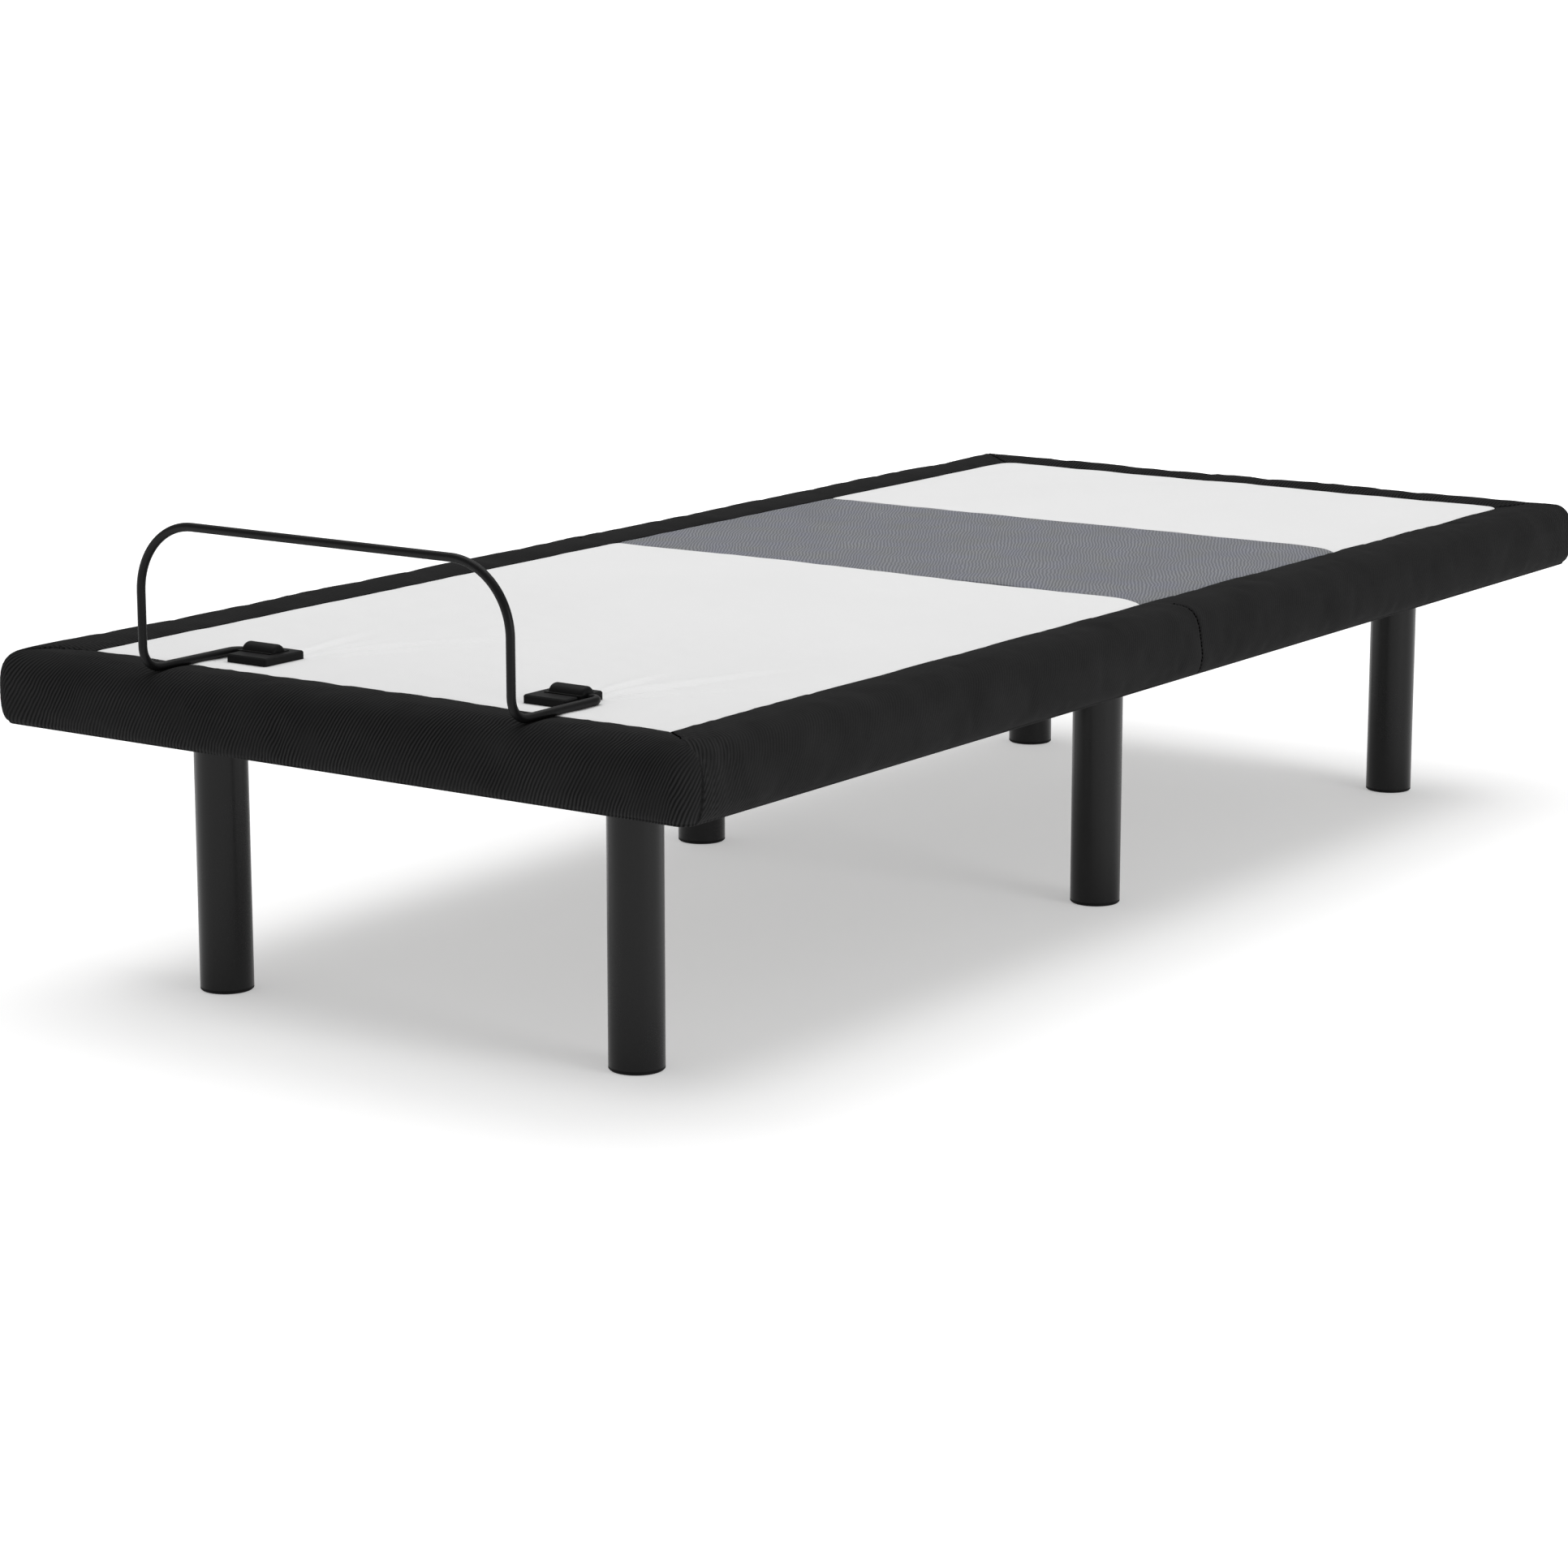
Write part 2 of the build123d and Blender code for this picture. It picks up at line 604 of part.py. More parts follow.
def make_support_link():
    arms = []
    for sign in SIDES.values():
        arm = flat_bar(
            LINK_X - LINK_LENGTH, LINK_Z, LINK_X, LINK_Z, sign * LINK_Y, 2 * LINK_RADIUS, LINK_THICK
        )
        for x in (LINK_X, LINK_X - LINK_LENGTH):
            y = sign * LINK_Y
            arm -= rod_y(x, y - LINK_THICK, y + LINK_THICK, LINK_Z, LINK_PIN_RADIUS + RUN_CLEARANCE)
        arms.append(arm)
    reach = LINK_Y - LINK_THICK / 2
    tie_x = LINK_X - LINK_LENGTH / 2
    tie = rod_y(tie_x, -reach, reach, LINK_Z, TUBE_SIZE / 2)
    tie -= rod_y(tie_x, -reach - CUT, reach + CUT, LINK_Z, TUBE_SIZE / 2 - TUBE_WALL)
    save("support_link", *arms, tie)


# ---------------------------------------------------------------- drives


def crank_pin_place(axis_x, swing_deg, way):
    """Where a crank's pin is at rest: half a swing before the lowest point."""
    half_swing = radians(swing_deg / 2)
    return axis_x - way * CRANK_RADIUS * sin(half_swing), HINGE_Z - CRANK_RADIUS * cos(half_swing)


def crank(axis_x, swing_deg, way, y):
    """Two plates from the panel's first cross tube down to the crank pin."""
    pin_x, pin_z = crank_pin_place(axis_x, swing_deg, way)
    root_x = axis_x + way * CRANK_ROOT
    above = block(root_x - CRANK_RADIUS, root_x + CRANK_RADIUS, y - WIDTH, y + WIDTH, TUBE_BOTTOM, DECK_TOP)
    plates = []
    for sign in SIDES.values():
        plate_y = y + sign * CRANK_PLATE_OFFSET
        plate = flat_bar(root_x, HINGE_Z, pin_x, pin_z, plate_y, CRANK_PLATE_WIDTH, CRANK_PLATE_THICK)
        y0 = plate_y - CRANK_PLATE_THICK
        pin_hole = rod_y(pin_x, y0, y0 + 2 * CRANK_PLATE_THICK, pin_z, CRANK_PIN_RADIUS)
        plates.append(plate - above - pin_hole)
    return plates


def crank_pin(axis_x, swing_deg, way, y):
    """The pin that joins the two crank plates and runs in the yoke's slot."""
    pin_x, pin_z = crank_pin_place(axis_x, swing_deg, way)
    reach = CRANK_PLATE_OFFSET + CRANK_PLATE_THICK / 2 + CRANK_PIN_END
    return rod_y(pin_x, y - reach, y + reach, pin_z, CRANK_PIN_RADIUS)


def rod_height():
    """Height of both push rods: halfway between the back crank pin's highest and lowest points."""
    highest = HINGE_Z - CRANK_RADIUS * cos(radians(BACK_LIFT_DEG / 2))
    return (highest + HINGE_Z - CRANK_RADIUS) / 2


def yoke(pin_x, y):
    """The push rod's end, with an upright slot for the crank pin."""
    z = rod_height()
    lift = CRANK_RADIUS * (1 - cos(radians(BACK_LIFT_DEG / 2)))
    slot_radius = CRANK_PIN_RADIUS + SLOT_SIDE_CLEARANCE
    slot_half = lift / 2 + SLOT_END_CLEARANCE
    half_x = slot_radius + YOKE_WALL
    half_z = slot_half + slot_radius + YOKE_WALL
    y0 = y - YOKE_WIDTH / 2
    y1 = y + YOKE_WIDTH / 2
    body = block(pin_x - half_x, pin_x + half_x, y0, y1, z - half_z, z + half_z)
    body = fillet(body.edges().filter_by(Axis.Y), YOKE_CORNER)
    y0 -= CUT
    y1 += CUT
    slot = block(pin_x - slot_radius, pin_x + slot_radius, y0, y1, z - slot_half, z + slot_half)
    for end in (z - slot_half, z + slot_half):
        slot += rod_y(pin_x, y0, y1, end, slot_radius)
    return body - slot


def make_drive(name, axis_x, swing_deg, way, y, rod_reach, rod_guided, stroke, motor_sign):
    """One linear drive: crank, yoke, push rod, screw, guide tube, housing and motor."""
    z = rod_height()
    pin_x = crank_pin_place(axis_x, swing_deg, way)[0]
    half_x = CRANK_PIN_RADIUS + SLOT_SIDE_CLEARANCE + YOKE_WALL
    rod_front = pin_x - way * half_x
    guide_front = rod_front - way * rod_reach
    rod_rear = guide_front - way * (stroke + rod_guided)
    guide_rear = rod_rear - way * SCREW_END_GAP
    housing_rear = guide_rear - way * HOUSING_LENGTH
    save(f"{name}_crank", *crank(axis_x, swing_deg, way, y), crank_pin(axis_x, swing_deg, way, y))
    push_rod = rod_x(rod_rear, rod_front, y, z, ROD_RADIUS)
    push_rod -= rod_x(rod_rear - way, rod_front - way * ROD_END_WALL, y, z, ROD_BORE_RADIUS)
    save(f"{name}_push_rod", push_rod, yoke(pin_x, y))
    screw_front = rod_front - way * (stroke + SCREW_END_GAP)
    save(f"{name}_screw", rod_x(guide_rear + way * FREE_GAP, screw_front, y, z, SCREW_RADIUS))
    guide = rod_x(guide_rear, guide_front, y, z, GUIDE_RADIUS)
    guide -= rod_x(guide_rear - way, guide_front + way, y, z, ROD_RADIUS + FREE_GAP)
    save(f"{name}_guide_tube", guide)
    half_w = HOUSING_WIDTH / 2
    half_h = HOUSING_HEIGHT / 2
    housing = block(guide_rear, housing_rear, y - half_w, y + half_w, z - half_h, z + half_h)
    housing = fillet(housing.edges().filter_by(Axis.X), HOUSING_CORNER)
    hanger_x = housing_rear + way * HANGER_WIDTH / 2
    hanger_pin_z = z + half_h - HANGER_PIN_DROP
    pin_hole = rod_y(hanger_x, y - HOUSING_WIDTH, y + HOUSING_WIDTH, hanger_pin_z, HANGER_PIN_RADIUS)
    housing -= pin_hole
    save(f"{name}_drive_housing", housing)
    motor_x = (guide_rear + housing_rear) / 2 + way * MOTOR_OFFSET
    motor_face = y + motor_sign * half_w
    motor = rod_y(motor_x, motor_face, motor_face + motor_sign * MOTOR_LENGTH, z, MOTOR_RADIUS)
    motor = fillet(motor.edges().filter_by(GeomType.CIRCLE), MOTOR_CORNER)
    motor = motor & block(-LENGTH, LENGTH, motor_face, motor_face + motor_sign * WIDTH, 0, DECK_TOP)
    save(f"{name}_motor", motor)
    hangers = []
    for sign in SIDES.values():
        face = y + sign * half_w
        hanger = block(
            hanger_x - HANGER_WIDTH / 2, hanger_x + HANGER_WIDTH / 2, face, face + sign * HANGER_THICK,
            hanger_pin_z - HANGER_BELOW_PIN, RAIL_BOTTOM
        )
        hangers.append(hanger - pin_hole)
    reach = half_w + HANGER_THICK + HANGER_PIN_END
    hangers.append(rod_y(hanger_x, y - reach, y + reach, hanger_pin_z, HANGER_PIN_RADIUS))
    save(f"{name}_drive_hanger", *hangers)


def make_drives():
    back_stroke = 2 * CRANK_RADIUS * sin(radians(BACK_LIFT_DEG / 2))
    leg_stroke = 2 * CRANK_RADIUS * sin(radians(THIGH_LIFT_DEG / 2))
    make_drive(
        "back", HIP_X, BACK_LIFT_DEG, 1, BACK_DRIVE_Y, BACK_ROD_REACH, BACK_ROD_GUIDED, back_stroke, -1
    )
    make_drive(
        "leg", THIGH_X, THIGH_LIFT_DEG, -1, LEG_DRIVE_Y, LEG_ROD_REACH, LEG_ROD_GUIDED, leg_stroke, 1
    )


def make_control_box():
    x0 = BOX_X - BOX_LENGTH / 2
    x1 = BOX_X + BOX_LENGTH / 2
    z0 = RAIL_BOTTOM - BOX_HEIGHT
    case = block(x0, x1, -BOX_WIDTH / 2, BOX_WIDTH / 2, z0, RAIL_BOTTOM)
    case = fillet(case.edges().filter_by(Axis.Z), BOX_CORNER)
    save("control_box", case)
    z = z0 + BOX_HEIGHT / 2
    half_w = INLET_WIDTH / 2
    half_h = INLET_HEIGHT / 2
    inlet = block(x1, x1 + INLET_DEPTH, -half_w, half_w, z - half_h, z + half_h)
    face = x1 + INLET_DEPTH
    half_w = INLET_SOCKET_WIDTH / 2
    half_h = INLET_SOCKET_HEIGHT / 2
    inlet -= block(face - INLET_SOCKET_DEPTH, face + CUT, -half_w, half_w, z - half_h, z + half_h)
    save("mains_inlet", inlet)


# ---------------------------------------------------------------- mattress retainer


def bracket_screw_places():
    """Two screws for each bracket, one each side of the housing along X."""
    return [
        (BRACKET_X + way * BRACKET_SCREW_OFFSET, sign * BRACKET_Y)
        for sign in SIDES.values()
        for way in (-1, 1)
    ]


def retainer_bracket(sign):
    """A flat base with a half-round housing over the bar's end."""
    half_x = BRACKET_SIZE_X / 2
    half_y = BRACKET_SIZE_Y / 2
    y = sign * BRACKET_Y
    top = DECK_TOP + BRACKET_BASE
    base = block(BRACKET_X - half_x, BRACKET_X + half_x, y - half_y, y + half_y, DECK_TOP, top)
    base = fillet(base.edges().filter_by(Axis.Z), BRACKET_CORNER)
    base = chamfer(base.edges().group_by(Axis.Z)[-1], BRACKET_CHAMFER)
    y0 = sign * BRACKET_DOME_Y - BRACKET_DOME_LENGTH / 2
    y1 = sign * BRACKET_DOME_Y + BRACKET_DOME_LENGTH / 2
    dome = rod_y(BAR_PIVOT_X, y0, y1, BAR_PIVOT_Z, BRACKET_DOME_RADIUS)
    dome = fillet(dome.edges().filter_by(GeomType.CIRCLE), BRACKET_DOME_CORNER)
    x0 = BAR_PIVOT_X - BRACKET_SHOULDER
    x1 = BAR_PIVOT_X + BRACKET_SHOULDER
    shoulder = block(x0, x1, y0, y1, DECK_TOP, top + BRACKET_SHOULDER_RISE)
    above_deck = block(-LENGTH, LENGTH, -WIDTH, WIDTH, DECK_TOP, BAR_TOP_Z)
    bracket = (base + dome + shoulder) & above_deck
    inner = sign * (BAR_INNER_Y - CUT)
    outer = sign * (BAR_HALF_WIDTH + BAR_RADIUS)
    bracket -= rod_y(BAR_PIVOT_X, inner, outer, BAR_PIVOT_Z, BAR_RADIUS + RUN_CLEARANCE)
    for x, screw_y in bracket_screw_places():
        bracket -= rod_z(x, screw_y, DECK_TOP - CUT, top - BRACKET_SCREW_COVER, BRACKET_SCREW_RADIUS)
    return bracket


def bracket_screw(x, y):
    """A screw up through board and foam into the bracket, with its head under the board."""
    top = DECK_TOP + BRACKET_BASE - BRACKET_SCREW_COVER
    screw = rod_z(x, y, BOARD_BOTTOM, top, BRACKET_SCREW_RADIUS)
    return screw + rod_z(x, y, BOARD_BOTTOM - BRACKET_SCREW_HEAD, BOARD_BOTTOM, 2 * BRACKET_SCREW_RADIUS)


def retainer_bar():
    """Round bar: short ends turned in, arms along the deck, then up into a wide loop."""
    start = Vector(BAR_PIVOT_X, BAR_INNER_Y, BAR_PIVOT_Z)
    with BuildLine() as path:
        FilletPolyline(
            start,
            (BAR_PIVOT_X, BAR_HALF_WIDTH, BAR_PIVOT_Z),
            (BAR_LOOP_X, BAR_HALF_WIDTH, BAR_PIVOT_Z),
            (BAR_LOOP_X, BAR_HALF_WIDTH, BAR_TOP_Z),
            (BAR_LOOP_X, -BAR_HALF_WIDTH, BAR_TOP_Z),
            (BAR_LOOP_X, -BAR_HALF_WIDTH, BAR_PIVOT_Z),
            (BAR_PIVOT_X, -BAR_HALF_WIDTH, BAR_PIVOT_Z),
            (BAR_PIVOT_X, -BAR_INNER_Y, BAR_PIVOT_Z),
            radius=[BAR_END_BEND, BAR_LOW_BEND, BAR_TOP_BEND, BAR_TOP_BEND, BAR_LOW_BEND, BAR_END_BEND],
        )
    section = Plane(origin=start, z_dir=(0, 1, 0)) * Circle(BAR_RADIUS)
    return sweep(section, path=path.line)


def make_retainer():
    for side, sign in SIDES.items():
        save(f"retainer_bracket_{side}", retainer_bracket(sign))
    save("bracket_screws", *[bracket_screw(x, y) for x, y in bracket_screw_places()])
    save("retainer_bar", retainer_bar())


make_legs()
make_fixed_frame()
make_borders()
make_seat()
make_back_panel()
make_thigh_panel()
make_calf_panel()
make_support_link()
make_drives()
make_control_box()
make_retainer()
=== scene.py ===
import json
import math

import bpy
import numpy as np
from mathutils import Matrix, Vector


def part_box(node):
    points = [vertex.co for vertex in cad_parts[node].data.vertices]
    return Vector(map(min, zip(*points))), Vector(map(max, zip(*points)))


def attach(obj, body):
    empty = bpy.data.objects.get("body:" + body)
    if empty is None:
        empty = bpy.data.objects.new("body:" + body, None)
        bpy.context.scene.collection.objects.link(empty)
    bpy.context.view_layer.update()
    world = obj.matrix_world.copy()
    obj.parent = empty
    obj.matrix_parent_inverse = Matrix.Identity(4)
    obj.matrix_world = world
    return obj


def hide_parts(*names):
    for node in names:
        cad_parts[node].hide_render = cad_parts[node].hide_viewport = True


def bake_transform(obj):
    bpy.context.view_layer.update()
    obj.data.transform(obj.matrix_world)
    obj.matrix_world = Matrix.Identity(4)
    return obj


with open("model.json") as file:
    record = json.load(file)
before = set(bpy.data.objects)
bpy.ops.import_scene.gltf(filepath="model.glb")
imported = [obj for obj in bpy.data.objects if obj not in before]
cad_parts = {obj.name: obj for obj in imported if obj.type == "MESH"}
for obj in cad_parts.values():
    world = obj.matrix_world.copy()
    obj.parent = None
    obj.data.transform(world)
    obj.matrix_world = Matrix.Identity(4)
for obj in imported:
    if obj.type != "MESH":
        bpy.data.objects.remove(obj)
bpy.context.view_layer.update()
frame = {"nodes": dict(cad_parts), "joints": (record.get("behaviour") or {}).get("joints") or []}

# ---- places taken from the frame

JOINTS = {joint["name"]: joint for joint in frame["joints"]}
THIGH_X = JOINTS["thigh_lift"]["pos_m"][0]
KNEE_X = JOINTS["knee"]["pos_m"][0]
HALF_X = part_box("back_border")[1].x
HALF_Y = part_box("back_border")[1].y
SKIRT_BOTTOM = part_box("calf_border")[0].z
DECK_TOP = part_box("calf_foam")[1].z
BOARD_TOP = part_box("calf_board")[1].z
BOARD_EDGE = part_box("calf_board")[1].y
BRACKETS = [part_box("retainer_bracket_left"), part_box("retainer_bracket_right")]
BAR_LOW, BAR_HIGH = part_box("retainer_bar")
BAR_RADIUS = 0.00475

# ---- upholstery sizes, in metres

CREST_Z = DECK_TOP + 0.0055  # top of the padded border
PANEL_Z = DECK_TOP + 0.0015  # top of the white and grey panels
CREST_INSET = 0.042  # from the outermost line in to the crest
FULLEST_Z = 0.345
ROLL_POWER = 3.0  # 2 would make the roll between top and face an ellipse; more squares it up
UNDERCUT = 0.0085
HEM_FOLD = 0.0025
OUTER_RADIUS = 0.024  # plan radius of the corners at the fullest line
SIDE_INSET = 0.0805  # outermost line to the seam with the panels, along the sides
FOOT_INSET = 0.079
HEAD_INSET = 0.066
FOOT_PANEL_RADIUS = 0.0015  # plan radius of the white panels' corners
HEAD_PANEL_RADIUS = 0.024
SKIRT_SEAM_X = -0.005  # sewn seam across the border, near the middle of the bed
SPLIT_SHIFT = 0.085  # from halfway between the thigh and knee lines to the split
SPLIT_X = (THIGH_X + KNEE_X) / 2 + SPLIT_SHIFT  # where the thigh half of a cover meets the calf half
GREY_FOOT_X = 0.019
GREY_HEAD_X = 0.498
GREY_PULL = 0.028  # how far the grey band's ends are pulled to the foot at the near side
GREY_PULL_RUN = 0.055
STEP = 0.0065  # size of the cloth grid
CLOTH_STEP = 0.012  # grid of the simulated skin
CLOTH_MOVE = 0.0009  # the most a point of it may move
CLOTH_FRAMES = 20  # frames of the simulation
SEAM_ROWS = 10  # rows from the seam to the crest
FACE_ROWS = 36  # rows from the crest to the hem
SKIN_ROWS = SEAM_ROWS + FACE_ROWS  # rows from the seam to the hem
PANEL_COLUMNS = 170  # steps of a panel's grid across the bed
CLOTH_GAP = 0.0004  # left between the padding and the boards
GROOVE = 0.0012  # how deep the seam between border and panels lies
PANEL_SEAM_WIDTH = 0.0035  # how softly a panel rises out of that seam
MITRE_DEPTH = 0.0015
MITRE_WIDTH = 0.0017
SKIRT_SEAM_DEPTH = 0.0024
SKIRT_SEAM_WIDTH = 0.0016
GATHER_PITCH = 0.0075  # gathers beside the mitres
NEAR_LOOSE = 0.0017  # how far the seam wanders along the near side
FAR_LOOSE = 0.0009
HEAD_CREST_RADIUS = 0.006  # plan radius of the head's corners at the crest
BAR_ZONE_X = -0.9  # dents under the bar are kept to the foot's side of this


def smooth(t):
    """Smooth step from 0 to 1."""
    t = np.clip(t, 0.0, 1.0)
    return t * t * (3.0 - 2.0 * t)


def bump(t):
    """A round hump, 1 at t = 0 and 0 beyond t = -1 and 1."""
    return 1.0 - smooth(np.abs(t))


def waves(u, seed, count=5, shortest=0.09, longest=0.5):
    """Soft waves along a line: a few sines of seeded lengths and phases, about 1 high."""
    source = np.random.default_rng(seed)
    total = np.zeros_like(u)
    for _ in range(count):
        length = source.uniform(shortest, longest)
        total += np.sin(2 * math.pi * (u / length + source.random())) * source.uniform(0.5, 1.0)
    return total / count * 1.4


def ripples(x, y, seed, count=14, shortest=0.05, longest=0.3):
    """Soft ripples over a surface: seeded plane waves, about 1 high."""
    source = np.random.default_rng(seed)
    total = np.zeros_like(x)
    for _ in range(count):
        length = source.uniform(shortest, longest)
        turn = source.uniform(0, math.pi)
        place = x * math.cos(turn) + y * math.sin(turn)
        total += np.sin(2 * math.pi * (place / length + source.random())) * length / longest
    return total / math.sqrt(count) * 1.4


# ---- the seam between border and panels


def side_wave(x, sign):
    """How far the seam along a long side wanders inwards. The near side is the looser one."""
    ends = smooth((HALF_X - 0.1 - np.abs(x)) / 0.08)
    seed, size = (11, NEAR_LOOSE) if sign < 0 else (12, FAR_LOOSE)
    return waves(x, seed, 4, 0.16, 0.26) * size * ends


def end_wave(y, direction):
    """The same for the ends: loose at the foot, straight at the head."""
    ends = smooth((HALF_Y - 0.09 - np.abs(y)) / 0.06)
    if direction > 0:
        return waves(y, 14, 4, 0.2, 0.4) * 0.0003 * ends
    swell = 0.0055 * bump((y + 0.085) / 0.09) + 0.003 * bump((y - 0.33) / 0.05)
    return (swell + waves(y, 13, 4, 0.12, 0.3) * 0.0012) * ends


def panel_y(x, sign):
    """The seam's Y along one long side."""
    return sign * (HALF_Y - SIDE_INSET - side_wave(x, sign))


def panel_x(y, direction):
    """The seam's X at the foot or the head."""
    radius = HEAD_PANEL_RADIUS if direction > 0 else FOOT_PANEL_RADIUS
    inset = HEAD_INSET if direction > 0 else FOOT_INSET
    over = np.clip(np.abs(y) - (HALF_Y - SIDE_INSET - radius), 0, radius)
    corner = radius - np.sqrt(np.maximum(radius**2 - over**2, 0))
    return direction * (HALF_X - inset - end_wave(y, direction) - corner)


def grey_x(y, middle):
    """The grey band's edge, straight except where it is pulled to the foot at the near side."""
    pull = np.clip((-y - (HALF_Y - SIDE_INSET - GREY_PULL_RUN)) / GREY_PULL_RUN, 0, 1.2)
    return middle - GREY_PULL * pull**1.8


# ---- mesh helpers


def new_piece(name, vertices, faces, material):
    mesh = bpy.data.meshes.new(name)
    mesh.from_pydata([tuple(v) for v in vertices], [], faces)
    mesh.validate()
    mesh.update()
    mesh.polygons.foreach_set("use_smooth", [True] * len(mesh.polygons))
    mesh.materials.append(material)
    piece = bpy.data.objects.new(name, mesh)
    bpy.context.scene.collection.objects.link(piece)
    return piece


def set_weave(piece, along, across, rib_relief_and_shade=None):
    """Keeps the cloth's own coordinates, in metres, so that its weave stays on it when it bends.
    The third value says how much the ribs stand out there: it scales their bump and the painted shade that
    darkens their grooves in the colour."""
    weave = piece.data.attributes.new("weave", "FLOAT_VECTOR", "POINT")
    if rib_relief_and_shade is None:
        rib_relief_and_shade = np.ones_like(along)
    values = np.stack([along, across, rib_relief_and_shade], axis=-1).reshape(-1)
    weave.data.foreach_set("vector", values.astype(np.float32))


def sharpen(piece, degrees=50):
    """Marks the edges that turn more than this as sharp, so that caps and folds don't smear the shading."""
    piece.data.set_sharp_from_angle(angle=math.radians(degrees))


# ---- padded border


def border_profile():
    """Closed outline of the border's padding, from the seam over the crest, down and back underneath.
    Each point is (share of the seam's inset, inset, height). The share is 1 at the seam and 0 from the crest
    on, except that the last points lead back to the seam."""
    rise = CREST_Z - PANEL_Z
    points = [(1 - k / SEAM_ROWS, 0.0, PANEL_Z + rise * math.sin(k / SEAM_ROWS * math.pi / 2))
              for k in range(SEAM_ROWS)]
    turn = np.linspace(0, math.pi / 2, 400)
    insets = CREST_INSET * (1 - np.sin(turn) ** (2 / ROLL_POWER))
    heights = FULLEST_Z + (CREST_Z - FULLEST_Z) * np.cos(turn) ** (2 / ROLL_POWER)
    drop = FULLEST_Z - SKIRT_BOTTOM - HEM_FOLD
    down = np.linspace(0, 1, 200)[1:]
    insets = np.append(insets, UNDERCUT * (1 - (1 - down**3.0) ** 0.6))
    heights = np.append(heights, FULLEST_Z - drop * down)
    length = np.append(0, np.cumsum(np.hypot(np.diff(insets), np.diff(heights))))
    for place in np.linspace(0, length[-1], FACE_ROWS):
        points.append((0.0, np.interp(place, length, insets), np.interp(place, length, heights)))
    inner = HALF_Y - BOARD_EDGE - CLOTH_GAP
    for k in range(1, 5):
        fold = math.pi / 2 * k / 4
        inset = UNDERCUT + HEM_FOLD * (1 - math.cos(fold))
        points.append((0.0, inset, SKIRT_BOTTOM + HEM_FOLD * (1 - math.sin(fold))))
    under = inner - UNDERCUT - HEM_FOLD
    points += [(0.0, UNDERCUT + HEM_FOLD + under * k / 4, SKIRT_BOTTOM) for k in range(1, 5)]
    points += [(0.0, inner, SKIRT_BOTTOM + (BOARD_TOP - SKIRT_BOTTOM) * k / 8) for k in range(1, 9)]
    points += [(k / 4, inner, BOARD_TOP + CLOTH_GAP) for k in range(1, 5)]
    points.append((1.0, 0.0, (BOARD_TOP + PANEL_Z) / 2))
    return points


def corner_radius(inset, share, direction):
    """Plan radius of the corners at one line of the profile: a true offset of the outside,
    except that the head's corners open out again to the seam."""
    offset = max(OUTER_RADIUS - inset, FOOT_PANEL_RADIUS)
    if direction < 0:
        return offset
    opened = (HEAD_PANEL_RADIUS - HEAD_CREST_RADIUS) * float(smooth(np.array(share)))
    return max(offset, HEAD_CREST_RADIUS + opened)


def run(start, stop):
    """Even places from start up to, but not at, stop."""
    count = max(1, round(abs(stop - start) / STEP))
    return [start + (stop - start) * k / count for k in range(count)]


LONG_END = 0.9  # the evenly spaced stations reach this far from the middle
SHORT_END = 0.36
SEAM_STEPS = [0.0005, 0.0011, 0.0018, 0.0027, 0.004, 0.006, 0.009]  # finer cloth beside the sewn seam
BESIDE_SEAM = 0.013  # the even steps start again here
NEAR_SEAM = ([SKIRT_SEAM_X - d for d in SEAM_STEPS[::-1]] + [SKIRT_SEAM_X]
             + [SKIRT_SEAM_X + d for d in SEAM_STEPS])
LONG_FIXED = (run(-LONG_END, SPLIT_X) + run(SPLIT_X, SKIRT_SEAM_X - BESIDE_SEAM)
              + [SKIRT_SEAM_X - BESIDE_SEAM] + NEAR_SEAM
              + run(SKIRT_SEAM_X + BESIDE_SEAM, LONG_END) + [LONG_END])
SHORT_FIXED = run(-SHORT_END, SHORT_END) + [SHORT_END]
FLEX = 13  # steps between the even stations and a corner
ARC = 20  # steps round a corner
ARC_POWER = 1.6  # above 1 it draws the steps together at the mitre


def stations():
    """Every station round the bed, as (side, kind, share, place). They go from the near side's foot end
    round by the head. A fixed station has a place, the others a share of their stretch."""
    made = []
    for side, fixed in (("near", LONG_FIXED), ("head", SHORT_FIXED),
                        ("far", LONG_FIXED[::-1]), ("foot", SHORT_FIXED[::-1])):
        made += [(side, "start", k / FLEX, 0.0) for k in range(FLEX)]
        made += [(side, "fixed", 0.0, place) for place in fixed]
        made += [(side, "stop", k / FLEX, 0.0) for k in range(1, FLEX + 1)]
        for k in range(1, ARC):
            t = 2 * k / ARC - 1
            made.append((side, "arc", 0.5 + 0.5 * math.copysign(abs(t) ** ARC_POWER, t), 0.0))
    return made


